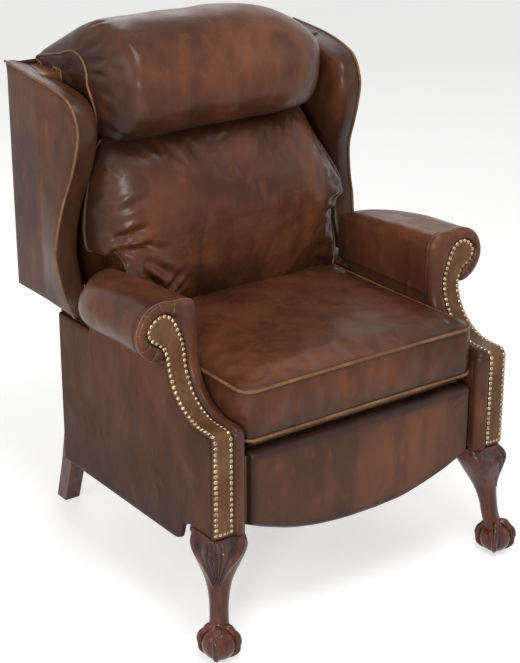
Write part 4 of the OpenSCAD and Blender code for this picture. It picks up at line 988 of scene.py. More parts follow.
@dataclass
class Wings:
    """Two wings: a flat outer panel, piping, a rolled leather band along the edge and a padded inner face.

    Args:
        outline: places of the front and top edge in Y and Z, from the foot to the rear top corner.
    """

    outer: float = 349.6
    inner: float = 296.0
    panel: float = 18.0
    rear_y: float = 350.0
    pad_y: float = 235.4
    low: float = 527.4
    roll: float = 26.0
    outline: tuple[tuple[float, float], ...] = (
        (109, 527.4), (120, 541), (138, 568), (150, 605), (156, 645), (157, 686), (150, 737), (139, 771), (124, 806),
        (111, 844), (103, 875), (101.5, 896), (106, 914), (117, 935), (138, 952), (188, 966), (255, 976), (318, 982.5),
        (350, 985))
    turn: tuple[tuple[float, float], ...] = (
        (527, -0.05), (568, -0.11), (617, -0.18), (642, -0.19), (686, -0.11), (721, -0.027), (771, 0.065), (844, 0.094),
        (900, 0.10), (985, 0.10))

    def front(self, z: Array) -> Array:
        """Y of the front edge at a height."""
        curve = smooth_path(self.outline, 400)
        order = np.argsort(curve[:, 1])
        return np.interp(z, curve[order, 1], curve[order, 0])

    def lean(self, y: Array, z: Array) -> Array:
        """How far a point moves inwards: its way in front of the wall times the share in the table turn."""
        table = smooth_path(self.turn, 300)
        return np.interp(z, table[:, 0], table[:, 1]) * np.clip(self.pad_y - y, 0, None)

    def shape(self) -> Surface:
        """Outer sheet and inner sheet over one grid of heights and shares of the depth.

        At distance d inside the edge the band has its width times (1 - (1 - d / roll)^2.6)^(1 / 2.6), so that it
        rolls from the outer seam over to the inner face. Behind the wall only the top keeps the whole width.
        """
        z1 = 527.4 + rounded_spacing(96, 985 - 527.4, 46)
        edge_y = self.front(z1)
        near = 1 - np.concatenate([[0, 0.004, 0.012, 0.025], np.linspace(0.045, 1, 40)])
        s, z = np.meshgrid(near, z1)
        f = edge_y[:, None]
        y = self.rear_y + s * (f - self.rear_y)
        curve = smooth_path(self.outline, 500)
        d = np.sqrt(((np.stack([y, z], -1)[:, :, None] - curve[None, None]) ** 2).sum(-1)).min(-1)
        floor = z - self.low
        band = 1 - np.clip(1 - d / self.roll, 0, 1) ** 2.6
        band = np.clip(band, 0, 1) ** (1 / 2.6)
        foot = edge_rise(floor, 5)
        depth = np.where((y > self.pad_y) & (z < 941), self.panel, self.outer - self.inner)
        crown = (3 + 9 * np.exp(-((z - 800) / 60) ** 2)) * np.clip(d / 60, 0, 1) * np.clip((self.pad_y - y) / 4, 0, 1)
        rear = edge_rise(self.rear_y - y, 3.0)
        x_in = self.outer - (depth + crown) * np.minimum(np.minimum(band, foot), rear)
        puff = 2.0 * edge_rise(np.minimum(np.minimum(d, floor), self.rear_y - y), 40)
        bulge = -6 * np.exp(-((d - 4) / 8) ** 2)
        inner = np.stack([x_in, y, z], -1)
        inner[:, :, 1] += np.where((x_in < self.outer - 6) & (x_in > self.inner + 4), bulge, 0) * (d < 14) * (y < 300)
        outside = np.stack([self.outer + puff - 1.5, y, z], -1)
        m = np.zeros(d.shape, bool)
        m[0], m[-1], m[:, 0], m[:, -1] = True, True, True, True
        inner[m] = outside[m] = np.stack([np.full(y.shape, self.outer - 1.5), y, z], -1)[m]
        for sheet in (inner, outside):
            sheet[..., 0] -= self.lean(sheet[..., 1], sheet[..., 2])
        # Painted shade along the edge, at the band's fold, towards the foot over the roll and towards the rear wall.
        tone = 0.7 * np.exp(-d / 8) + 0.3 * np.exp(-((d - 50) / 18) ** 2) + 0.5 * np.exp(-floor / 50) \
            + 0.5 * np.exp(-(self.rear_y - y) / 26)
        return slab(outside, inner, np.clip(tone, 0, 1))

    def build(self) -> None:
        """Both wings with their piping, and the covers over the frame behind them."""
        shape = self.shape()
        curve = smooth_path(self.outline, 170)
        for side in Side:
            piece = make_object(f"wing_leather_{side.tag}", shape.mirrored(side), Finish.LEATHER)
            p, n = mesh_points(piece)
            inside = np.clip((self.outer - 8 - self.lean(p[:, 1], p[:, 2]) - abs(p[:, 0])) / 20, 0, 1)
            move = (1.4 * ripple(p, 150, 31 + side.value) + 0.4 * ripple(p, 50, 35)) * inside
            for a, b, w, d in (((300, 160, 700), (298, 215, 742), 7, 2.4), ((300, 170, 660), (298, 222, 650), 7, 2.2),
                               ((288, 125, 880), (292, 170, 872), 7, 1.8), ((290, 150, 930), (294, 185, 905), 7, 2.0)):
                move = move + crease(p, (side.value * a[0], *a[1:]), (side.value * b[0], *b[1:]), w, d) * inside
            set_points(piece, p + n * move[:, None])
            add_subdivision(piece)
            place(piece, Body.BACK, Finish.LEATHER, [f"wing_panel_{side.tag}", f"wing_pad_{side.tag}"], 0.85)
            x = self.outer + 0.4 - self.lean(curve[:, 0], curve[:, 1])
            welt(f"wing_welt_{side.tag}", np.column_stack([side.value * x, curve]), Body.BACK, 2.6, up=(1, 0, 0))
            cap = padded_box((281, 236, 940.6), (331.5, 335, 976.5), 3.0).mirrored(side)
            add_piece(f"wing_cover_{side.tag}", cap, Body.BACK, Finish.LEATHER, [f"wing_cap_{side.tag}"], 0.9)


def padded_box(low: Sequence[float], high: Sequence[float], edge: float) -> Surface:
    """Box with rounded edges: rings of a rounded rectangle that draw in over the first and last edge of its height."""
    low, high = np.asarray(low, float), np.asarray(high, float)
    mid, half = (low + high) / 2, (high - low) / 2
    t = np.linspace(0, math.pi / 2, 5)
    inset = np.concatenate([edge * (1 - np.sin(t)), edge * (1 - np.sin(t))[::-1]])
    z = np.concatenate([low[2] + edge * (1 - np.cos(t)), high[2] - edge * (1 - np.cos(t))[::-1]])
    rings = []
    for i, zz in zip(inset, z):
        flat = soft_rectangle(half[0] - i, half[1] - i, max(edge - i, 0.4), 0, 64)
        rings.append(np.column_stack([flat + mid[:2], np.full(len(flat), zz)]))
    return loft(np.stack(rings))


# Arms


@dataclass
class Arms:
    """Rolled arms: roll with a rounded rear end, pleated scroll face, wrapped front, keyhole facing and nails.

    Args:
        sweep: radius of the curve from the top of the post back and up to the scroll.
        hub: X and Z of the roll's axis.
        round_y: where the roll's rounded rear end starts.
        round_l: length of that end.
        neck_z: height above which the facing widens into its head.
        pleats: angles of the scroll's pleats about the hub, in degrees from the outer side.
        keyhole: height, and X of the facing's inner and outer edge.
    """

    front_y: float = -350.0
    scroll_y: float = -204.0
    foot_z: float = 241.0
    post_top: float = 445.0
    corner: float = 13.0
    sweep: float = 110.0
    inner_x: float = 277.3
    outer_x: float = 349.6
    scroll_x: float = 352.5
    scroll_z: float = 598.5
    scroll_r: float = 57.5
    hub: tuple[float, float] = (352.0, 600.0)
    facing_x: float = 308.0
    band: float = 11.6
    nail_r: float = 4.9
    nail_pitch: float = 10.7
    round_y: float = -64.0
    round_l: float = 155.0
    neck_z: float = 541.0
    pleats: tuple[float, ...] = (-60, -30, 5, 45, 80, 114)
    keyhole: tuple[tuple[float, ...], ...] = (
        (530, 308, 349.8), (541, 308, 349.9), (549, 308, 351.5), (556, 308.6, 353.8), (563, 309.5, 356.4),
        (570, 311, 361), (576, 312.5, 369), (581, 314, 377), (586, 315.8, 382.5), (592, 318, 386.6), (597, 320, 388.8),
        (602, 322, 389.6), (608, 324.3, 389), (614, 327, 386.8), (620, 330.7, 382.2), (626, 336.2, 375.8),
        (630, 341.8, 370), (633, 348, 363.5), (634.4, 354.6, 357.4))

    def path(self, off: float = 0.0, top: float = 655.0, foot: float | None = None) -> Array:
        """Front edge in Y and Z at a distance off it: up the post, round its top, back and up the sweep."""
        t = np.radians(np.linspace(0, 90, 12))
        post = np.column_stack([np.full(30, self.front_y - off),
                                np.linspace(self.foot_z if foot is None else foot, self.post_top - self.corner, 30)])
        turn = np.column_stack([self.front_y + self.corner - (self.corner + off) * np.cos(t),
                                self.post_top - self.corner + (self.corner + off) * np.sin(t)])
        a = np.radians(np.linspace(0, 90, 30))
        mid_y, mid_z = self.scroll_y - self.sweep, self.post_top + self.sweep
        rise = np.column_stack([mid_y + (self.sweep - off) * np.sin(a), mid_z - (self.sweep - off) * np.cos(a)])
        last = np.column_stack([np.full(6, self.scroll_y - off), np.linspace(mid_z + 6, top, 6)])
        return np.vstack([post, turn[1:], rise, last])

    def frame(self, count: int, top: float = 655.0, foot: float | None = None) -> tuple[Array, Array]:
        """Even points on the front edge, and their normals, which point forward and up."""
        line = even_path(self.path(0, top, foot), count)
        along = unit(np.gradient(line, axis=0))
        return line, np.column_stack([-along[:, 1], along[:, 0]])

    def sides(self, z: Array) -> tuple[Array, Array]:
        """X of the facing's inner and outer edge at a height."""
        table = smooth_path(self.keyhole, 400)
        return np.interp(z, table[:, 0], table[:, 1]), np.interp(z, table[:, 0], table[:, 2])

    @staticmethod
    def bulge(t: Array, drop: Array | float) -> Array:
        """How far the padding stands out at share t, facing to rim: a quick rise, then a round fall by drop."""
        fall = np.clip((t - 0.32) / 0.68, 0, 1)
        return 8 * np.sin(np.pi / 2 * np.clip(t / 0.32, 0, 1)) ** 0.8 - drop * (1 - np.sqrt(1 - fall ** 2))

    def wrap(self) -> Surface:
        """Leather wrapped over the post and the sweep: flat under the facing, then a roll over the inner corner."""
        line, normal = self.frame(120, 608.0)
        xi, _ = self.sides(line[:, 1])
        t = 1 - np.cos(np.linspace(0, np.pi / 2, 22))
        t = np.concatenate([t[:-1] * 0.5, 0.5 + 0.5 * np.sin(np.linspace(0, np.pi / 2, 16))])
        x = np.concatenate([np.broadcast_to([[349.2, 349.4, 348.0, 330.0]], (len(xi), 4)),
                            xi[:, None] - t[None] * (xi - self.inner_x)[:, None],
                            np.broadcast_to([[self.inner_x + 0.1, 300.0]], (len(xi), 2))], 1)
        off = np.concatenate([[-self.band, -2.5, -1.2, -1.0], self.bulge(t, 18.0), [-self.band, -self.band]])[None]
        off = off - 4 * np.clip((line[:, 1] - 592) / 14, 0, 1)[:, None]
        y = line[:, :1] + normal[:, :1] * off
        z = line[:, 1:] + normal[:, 1:] * off
        # Painted shade beside the facing, at the post's top corner, towards the foot, and on the inner side turned from
        # the light.
        corner = np.linalg.norm(line - [self.front_y + 4, self.post_top - 4], axis=1)
        tone = np.clip(0.85 * np.exp(-abs(x - xi[:, None]) / 4) + 0.5 * np.exp(-corner / 8)[:, None]
                       + 0.5 * np.exp(-(line[:, 1] - self.foot_z) / 14)[:, None]
                       + 0.35 * np.clip((288 - x) / 10, 0, 1), 0, 1)
        return loft(np.stack([x, y, z], -1), tone)

    def inner_side(self) -> Surface:
        """Leather over the inner side of the post, from its front back to the roll."""
        z = np.concatenate([np.linspace(241, 425, 24), np.linspace(430, 565, 26)])
        edge = self.path(-5.0)
        keep = np.concatenate([[True], np.diff(edge[:, 1]) > 1e-3])
        y0 = np.interp(z, edge[keep, 1], edge[keep, 0])
        rear = np.where(z < 365, -233.0, -186.0)
        s = np.linspace(0, 1, 12)
        y = y0[:, None] + s[None] * (rear - y0)[:, None]
        zz = np.repeat(z[:, None], 12, 1)
        near = np.minimum(np.minimum(y - y0[:, None], rear[:, None] - y), zz - 241)
        x = self.inner_x + 7.0 - 6.8 * edge_rise(near + 0.4, 5)
        x[:, 0] = x[:, -1] = x[0] = x[-1] = self.inner_x + 7
        front = np.stack([x, y, zz], -1)
        back = np.stack([np.full_like(x, self.inner_x + 7), y, zz], -1)
        # Painted shade towards the edges.
        return slab(front, back, 0.5 * np.exp(-near / 15))

    def roll_section(self) -> Array:
        """Closed outline of the roll in X and Z: the scroll's circle, the shoulder and the inner side."""
        t = np.radians(np.linspace(-99, 104, 60))
        outer = np.column_stack([self.scroll_x + self.scroll_r * np.cos(t), self.scroll_z + self.scroll_r * np.sin(t)])
        top = self.scroll_z + self.scroll_r - 2
        a = np.radians(np.linspace(92, 180, 18))
        r = 35.0
        shoulder = np.column_stack([self.inner_x + r + r * np.cos(a), top - r + r * np.sin(a)])
        low = np.array([[self.inner_x, 570], [self.inner_x, 530], [self.inner_x + 4, 519], [self.inner_x + 20, 517.5]])
        return even_path(np.vstack([outer, shoulder, low, outer[:1]]), 121)[:-1]

    def swell(self, y: Array, z: Array) -> tuple[Array, Array]:
        """Shares of the width and of the height over or under the middle that the roll keeps at its rounded rear end.

        Both are superellipses of the way past round_y: the upper half draws in as an ellipse, the lower half later.
        """
        way = np.clip(y - self.round_y, 0, None)
        high = np.clip((z - 560) / 60, 0, 1)
        upper = np.sqrt(np.clip(1 - (way / self.round_l) ** 2, 0, 1))
        lower = np.clip(1 - (way / (self.round_l - 1)) ** 3, 0, 1) ** (1 / 3)
        over = np.clip(1 - (way / 165) ** 2.6, 0, 1) ** (1 / 2.6)
        under = np.clip(1 - (way / 162) ** 7, 0, 1) ** (1 / 7)
        return lower + (upper - lower) * high, np.where(z > self.hub[1], over, under)

    def roll(self) -> Surface:
        """Roll of the arm along Y, a little lower towards its rear end, which closes as an ellipse inwards."""
        section = self.roll_section()
        y = np.concatenate([np.linspace(-193, self.round_y - 6, 22),
                            self.round_y + (self.round_l - 1.2) * np.sin(np.linspace(0, 1.54, 44))])
        yy = np.repeat(y[:, None], len(section), 1)
        wide, rise = self.swell(yy, section[None, :, 1])
        x = self.inner_x + (section[None, :, 0] - self.inner_x) * np.maximum(wide, 0.03)
        sag = 1 - 0.30 * np.clip((yy + 193) / 230, 0, 1) * (section[None, :, 1] > self.hub[1])
        z = self.hub[1] + (section[None, :, 1] - self.hub[1]) * rise * sag
        rings = np.stack([x, yy, z], -1)
        # Painted shade under the roll on its outer side, towards its rear end by the wing, and at its front by the
        # scroll.
        low = np.exp(-np.clip(section[None, :, 1] - 545, 0, None) / 16) * (section[None, :, 0] > 300)
        rear = np.clip((yy - 0) / 90, 0, 1) ** 2
        front = np.exp(-(yy + 193) / 12)
        return loft(rings, np.clip(0.6 * low + 0.7 * rear + 0.5 * front, 0, 1))

    def polar(self, outline: Array, angle: Array) -> Array:
        """Points of an outline in X and Z in directions from the hub."""
        way = np.degrees(np.arctan2(outline[:, 1] - self.hub[1], outline[:, 0] - self.hub[0]))
        way = np.radians((way + 110) % 360 - 110)
        order = np.argsort(way)
        return np.stack([np.interp(angle, way[order], outline[order, k]) for k in (0, 1)], -1)

    def spot(self, angle: Array, t: Array) -> Array:
        """Points of the pleated ring in directions from the hub, at shares t from the facing (0) to the rim (1)."""
        z = np.concatenate([np.linspace(534, self.hub[1], 80),
                            self.hub[1] + 34.4 * np.sin(np.linspace(0.01, np.pi / 2, 80))])
        xi, xo = self.sides(z)
        hole = np.vstack([np.column_stack([xo, z]), np.column_stack([xi, z])[::-1]])
        inner, outer = self.polar(hole, angle), self.polar(self.roll_section(), angle)
        at = inner + (outer - inner) * t[..., None]
        degrees = np.degrees(angle)
        groove = np.exp(-((degrees[..., None] - np.array(self.pleats)) / 3.0) ** 2).sum(-1)
        off = self.bulge(np.clip(t, 0, 1), 12 + 6 * np.clip((degrees - 120) / 55, 0, 1))
        off = off - 2.6 * groove * np.sin(np.pi * np.clip(t, 0, 1) ** 0.7)
        off = off - 10 * np.clip((-76 - degrees) / 14, 0, 1) ** 2 - 6 * np.clip((degrees - 196) / 26, 0, 1)
        return np.stack([at[..., 0], self.scroll_y - off, at[..., 1]], -1)

    def ring(self) -> Surface:
        """Pleated leather between the facing's head and the scroll's rim, from under the roll inwards."""
        angle = np.radians(np.linspace(-90, 222, 260))
        share = np.concatenate([[-0.12], np.linspace(0, 0.32, 8), np.linspace(0.36, 0.8, 12),
                                0.8 + 0.2 * np.sin(np.linspace(0.2, np.pi / 2, 8))])
        a, t = np.meshgrid(angle, share)
        front = self.spot(a, t)
        deep = np.stack([front[-1], front[-1]])
        deep[0, :, 1] = np.maximum(deep[0, :, 1], self.scroll_y + 8)
        deep[1, :, 1] = self.scroll_y + 17
        hub = np.array(self.hub)
        deep[1][:, [0, 2]] = hub + (deep[1][:, [0, 2]] - hub) * 0.98
        front = np.concatenate([front, deep])
        back = front.copy()
        back[..., 1] = self.scroll_y + 18
        back[..., [0, 2]] = hub + (back[..., [0, 2]] - hub) * 0.9
        t = np.vstack([t, np.ones((2, len(angle)))])
        a = np.vstack([a, a[:2]])
        groove = np.exp(-((np.degrees(a)[..., None] - np.array(self.pleats)) / 3.0) ** 2).sum(-1)
        way = np.clip(t, 0, 1)
        # Painted shade in the pleats' grooves, next to the facing, and on the rows turned in behind the rim.
        tone = 0.6 * groove * np.sin(np.pi * way) + 0.85 * np.exp(-way * 9) + 0.25 * (t > 0.99)
        return slab(front, back, np.clip(tone, 0, 1))

    def stitches(self) -> Surface:
        """Thin raised seams of the scroll: one down each pleat and one round the rim, on the ring's own surface."""
        lines = []
        for angle in np.radians(self.pleats):
            t = np.linspace(0.10, 0.99, 18)
            lines.append(tube(self.spot(np.full(18, angle), t) + [0, 0.3, 0], 1.0, 6, up=(0.3, 0, 1)))
        a = np.radians(np.linspace(-72, 150, 90))
        lines.append(tube(self.spot(a, np.full(90, 0.985)), 1.1, 6, up=(0, 1, 0)))
        return join(lines)

    def keyhole_rows(self) -> tuple[Array, Array, Array, Array]:
        """Rows of the facing from its foot to the top of its head: line, normals, and the X of both edges."""
        line, normal = self.frame(130, self.hub[1], 246.5)
        z = self.hub[1] + 34.3 * np.sin(np.linspace(0.04, np.pi / 2, 30))
        line = np.vstack([line, np.column_stack([np.full(30, self.scroll_y), z])])
        normal = np.vstack([normal, np.tile([-1.0, 0.0], (30, 1))])
        xi, xo = self.sides(line[:, 1])
        on_post = line[:, 1] < self.neck_z
        return line, normal, np.where(on_post, self.facing_x, xi), np.where(on_post, self.outer_x + 0.2, xo)

    def facing(self) -> Surface:
        """Keyhole facing: a crowned strip up the post and the sweep that widens into a round head."""
        line, normal, xi, xo = self.keyhole_rows()
        t = np.linspace(0, 2 * np.pi, 40, endpoint=False)
        half, middle = (xo - xi)[:, None] / 2, (xo + xi)[:, None] / 2
        power = 2 / 6.0
        across = np.sign(np.cos(t)) * abs(np.cos(t)) ** power
        off = 0.4 + 2.2 * np.sign(np.sin(t)) * abs(np.sin(t)) ** power
        crown = 1.7 * np.clip(1 - across ** 2, 0, 1) ** 0.7 * (off > 0.4)
        off = off + crown * np.clip(half / 18, 0, 1.5)
        x = middle + half * across
        y = line[:, :1] + normal[:, :1] * off
        z = line[:, 1:] + normal[:, 1:] * off
        # Painted shade along both edges of the strip, by the nails.
        return loft(np.stack([x, y, z], -1), 0.7 * np.exp(-half * (1 - abs(across)) / 2.5) * np.ones_like(y))

    def nail_places(self) -> tuple[Array, Array]:
        """Points and outward directions of the nails: along both edges of the keyhole, and across its foot."""
        line, normal, xi, xo = self.keyhole_rows()
        run = np.concatenate([[0], np.cumsum(np.linalg.norm(np.diff(line, axis=0), axis=1))])
        outline = np.vstack([np.column_stack([xi, run]), np.column_stack([xo, run])[::-1]])
        outline = even_path(outline, 900)
        along = unit(np.gradient(outline, axis=0))
        inset = outline + 4.3 * np.column_stack([along[:, 1], -along[:, 0]])
        inset = inset[(inset[:, 1] > 5.0)]
        places = even_path(inset, int(path_length(inset) / self.nail_pitch) + 1)
        foot = np.column_stack([np.linspace(self.facing_x + 4.3, self.outer_x - 4.3, 5)[1:-1], np.full(3, 5.0)])
        places = np.vstack([places, foot])
        at = np.stack([np.interp(places[:, 1], run, line[:, k]) for k in (0, 1)], -1)
        way = unit(np.stack([np.interp(places[:, 1], run, normal[:, k]) for k in (0, 1)], -1))
        points = np.column_stack([places[:, 0], at + 2.5 * way])
        return points, np.column_stack([np.zeros(len(way)), way])

    def nails(self) -> Surface:
        """Domed nail heads: each is rings of r cos t at height 0.6 r sin t over the leather, with a flat underside."""
        points, ways = self.nail_places()
        t = np.radians([0.0, 30.0, 62.0])
        a = np.linspace(0, 2 * np.pi, 8, endpoint=False)
        domes = []
        for spot, way in zip(points, ways):
            side = unit(np.cross(way, [0.0, 0.31, 0.95]) + np.array([1e-6, 0, 0]))
            over = np.cross(side, way)
            rings = [spot - 1.2 * way + self.nail_r * 0.96 * (np.cos(a)[:, None] * side + np.sin(a)[:, None] * over)]
            rings += [spot + way * self.nail_r * 0.6 * math.sin(k)
                      + self.nail_r * math.cos(k) * (np.cos(a)[:, None] * side + np.sin(a)[:, None] * over) for k in t]
            dome = loft(np.stack(rings))
            dome.points[-1] = spot + way * self.nail_r * 0.62
            domes.append(dome)
        return join(domes)

    def inner_pad(self) -> Surface:
        """Padded inner side of the arm beside the cushion, and the covered ledge behind the roll, under the wing."""
        def face(u: Array, v: Array, off: Array) -> Array:
            """Place at u back and v up from the pad's front lower corner, off out of its plane."""
            return np.stack([284.6 - off, -200.0 + u, 365.5 + v], -1)

        side = panel(face, rounded_spacing(40, 260.0, 6), rounded_spacing(26, 172.0, 6), 7.2, 6, 0.0)
        rear = panel(lambda u, v, off: face(u + 250.0, v, off - 0.2),
                     rounded_spacing(24, 128.0, 6), rounded_spacing(24, 149.0, 6), 7.2, 6, 0.0)
        ledge = padded_box((277.4, 40, 507.6), (341.8, 178.6, 515.0), 2.5)
        return join([side, rear, ledge])

    def build(self) -> None:
        """All leather, piping and nails of both arms."""
        for side in Side:
            tag = side.tag
            wrap = join([self.wrap(), self.inner_side()]).mirrored(side)
            add_piece(f"arm_wrap_{tag}", wrap, Body.BASE, Finish.LEATHER, [f"arm_front_{tag}"], 0.9)
            add_piece(f"scroll_leather_{tag}", self.ring().mirrored(side), Body.BASE, Finish.LEATHER, fill=0.85)
            pad = make_object(f"arm_roll_{tag}", join([self.roll(), self.inner_pad()]).mirrored(side), Finish.LEATHER)
            p, n = mesh_points(pad)
            high = np.clip((p[:, 2] - 535) / 25, 0, 1) * (abs(p[:, 0]) > self.inner_x + 1)
            set_points(pad, p + n * (1.5 * ripple(p, 150, 41 + side.value) * high)[:, None])
            place(pad, Body.BASE, Finish.LEATHER, [f"arm_pad_{tag}"], 0.85)
            add_piece(f"arm_facing_{tag}_leather", self.facing().mirrored(side), Body.BASE, Finish.FACING,
                      [f"arm_facing_{tag}"])
            add_piece(f"arm_nails_{tag}", self.nails().mirrored(side), Body.BASE, Finish.BRASS)
            add_piece(f"scroll_stitches_{tag}", self.stitches().mirrored(side), Body.BASE, Finish.WELT)
            y = np.concatenate([np.linspace(-198, self.round_y, 30),
                                self.round_y + 148 * np.sin(np.linspace(0.05, 1.5, 40))])
            wide, rise = self.swell(y, np.full(len(y), 545.0))
            x = self.inner_x + (self.scroll_x - self.inner_x) * wide
            seam = np.column_stack([side.value * x, y, self.hub[1] - 60.5 * rise])
            welt(f"arm_welt_{tag}", seam, Body.BASE, 2.7)


@dataclass
class SidePanels:
    """Outer sides of the arms with an ogee lower edge, their returns, and the covered panels of the base."""

    arms: Arms
    apron: float = 193.3
    post_low: float = 240.6
    ogee: float = 30.0
    knee_y: float = -277.0
    rear_y: float = 186.7
    seam_z: float = 538.6
    ledge_z: float = 514.8
    roll_rear: float = 66.0

    def upper(self, y: Array) -> Array:
        """Top of the panel at places along Y: over the post, up the sweep, under the roll, under the wing."""
        edge = self.arms.path(-1.0)
        keep = np.concatenate([[True], np.diff(edge[:, 0]) > 1e-3])
        z = np.interp(y, edge[keep, 0], edge[keep, 1])
        z = np.where(y > self.arms.scroll_y - 1.5, self.seam_z, np.minimum(z, self.seam_z))
        return np.where(y > self.roll_rear, self.ledge_z, z)

    def lower(self, y: Array) -> Array:
        """Bottom of the panel: level behind the post, then an ogee of two quarter curves down to the apron."""
        drop = (self.post_low - self.apron) / 2

        def fall(way: Array) -> Array:
            """Height lost on a quarter curve after a way along Y."""
            return drop * (1 - np.sqrt(np.clip(1 - np.clip(way / self.ogee, 0, 1) ** 2, 0, 1)))

        first = self.post_low - fall(y - self.knee_y)
        last = self.apron + fall(self.knee_y + 2 * self.ogee - y)
        return np.where(y < self.knee_y + self.ogee, first, last)

    def outer(self) -> Surface:
        """Outer panel over a grid of places along Y and shares of the height."""
        y1 = np.concatenate([self.arms.front_y + 1.2 + np.array([0, 0.5, 1.5, 3, 6, 10, 15, 22, 30, 38]),
                             np.linspace(self.arms.front_y + 46, self.roll_rear - 2, 104),
                             self.roll_rear + np.array([-0.5, 0.5]),
                             np.linspace(self.roll_rear + 3, self.rear_y - 6, 30),
                             self.rear_y - np.array([4, 2, 0.8, 0])])
        v = np.concatenate([[0, 0.004, 0.012, 0.03], np.linspace(0.06, 0.94, 30), [0.97, 0.988, 0.996, 1]])
        top, low = self.upper(y1), self.lower(y1)
        z = low[None] + v[:, None] * (top - low)[None]
        y = np.repeat(y1[None], len(v), 0)
        near = np.minimum(np.minimum(z - low[None], top[None] - z), np.minimum(y - y1[0], y1[-1] - y))
        x = 342.4 + 7.2 * edge_rise(near, 4) + 1.2 * np.clip(near / 60, 0, 1)
        # Painted shade along the edges and towards the bottom.
        tone = 0.55 * np.exp(-near / 7) + 0.35 * np.exp(-(z - self.apron) / 60)
        front = np.stack([x, y, z], -1)
        return slab(front, np.stack([np.full_like(x, 342.4), y, z], -1), np.clip(tone, 0, 1))

    def build(self) -> None:
        """Panels of both sides and of the rear."""
        for side in Side:
            back = padded_box((262.3, 179.4, 193.3), (341.9, 187.2, 514.8), 2.5)
            piece = make_object(f"side_leather_{side.tag}", join([self.outer(), back]).mirrored(side), Finish.PANEL)
            p, n = mesh_points(piece)
            move = 0.8 * ripple(p, 240, 51) * (abs(p[:, 0]) > 346) * np.clip((p[:, 2] - 250) / 60, 0, 1)
            set_points(piece, p + n * move[:, None])
            place(piece, Body.BASE, Finish.PANEL, [f"side_panel_{side.tag}"])
            quarter = padded_box((255.2, 188.0, 193.3), (262.3, 345.0, 424.6), 2.4).mirrored(side)
            add_piece(f"quarter_leather_{side.tag}", quarter, Body.BASE, Finish.PANEL,
                      [f"quarter_panel_{side.tag}"])
        apron = padded_box((-254.8, 338.3, 193.3), (254.8, 345.2, 244.6), 2.4)
        add_piece("rear_apron_leather", apron, Body.BASE, Finish.PANEL, ["rear_apron"])


# Footrest and back panels


@dataclass
class FootrestPanel:
    """Crowned footrest panel with a curved lower edge and piping down both sides of its front."""

    half: float = 269.5
    top: float = 390.0
    low: float = 183.5
    rise: float = 59.0
    power: float = 2.2
    front_y: float = -352.0
    rear_y: float = -319.2
    edge: float = 15.0

    def bottom(self, x: Array) -> Array:
        """Lower edge at a distance x from the middle."""
        return self.low + self.rise * np.minimum(abs(x) / self.half, 1) ** self.power

    def shape(self) -> Surface:
        """Front and rear sheets over a grid whose rows run from the curved lower edge to the top."""
        x1 = rounded_spacing(110, 2 * self.half, 16) - self.half
        v = rounded_spacing(60, 1.0, 0.08)
        x, share = np.meshgrid(x1, v)
        low = self.bottom(x)
        corner = 12.0 * np.clip((abs(x) - self.half + 14) / 14, 0, 1) ** 2.2
        z = low + share * (self.top - corner - low)
        near = np.minimum(np.minimum(z - low, self.top - corner - z), self.half - abs(x))
        thick = self.rear_y - self.front_y
        y = self.rear_y - (thick - 3) * edge_rise(near, self.edge) ** 0.9 - 3.0 * np.clip(near / 70, 0, 1)
        front = np.stack([x, y, z], -1)
        # Painted shade towards the border.
        tone = 0.95 * np.exp(-(near / 17) ** 2) + 0.35 * np.exp(-near / 40)
        return slab(front, np.stack([x, np.full_like(x, self.rear_y), z], -1), np.clip(tone, 0, 1))

    def build(self) -> None:
        """Panel and its piping."""
        piece = make_object("footrest_leather", self.shape(), Finish.LEATHER)
        p, n = mesh_points(piece)
        front = np.clip((self.rear_y - 8 - p[:, 1]) / 12, 0, 1)
        move = (1.2 * ripple(p, 200, 61) + 0.4 * ripple(p, 60, 62)) * front
        for fold in (((-255, -340, 372), (-215, -350, 352), 6, 1.8), ((255, -340, 372), (215, -350, 352), 6, 1.8),
                     ((-250, -340, 252), (-205, -350, 268), 6, 1.8), ((250, -340, 250), (205, -350, 268), 6, 1.6)):
            move = move + crease(p, *fold) * front
        set_points(piece, p + n * move[:, None])
        add_subdivision(piece)
        place(piece, Body.FOOTREST, Finish.LEATHER, ["rest_pad"], 0.9)
        for side in Side:
            z = np.linspace(float(self.bottom(np.array(self.half))) + 3, self.top - 9, 40)
            path = np.column_stack([np.full(40, side.value * (self.half - 2.2)), np.full(40, -333.0), z])
            welt(f"footrest_welt_{side.tag}", path, Body.FOOTREST, 2.5, up=(0, 1, 0))


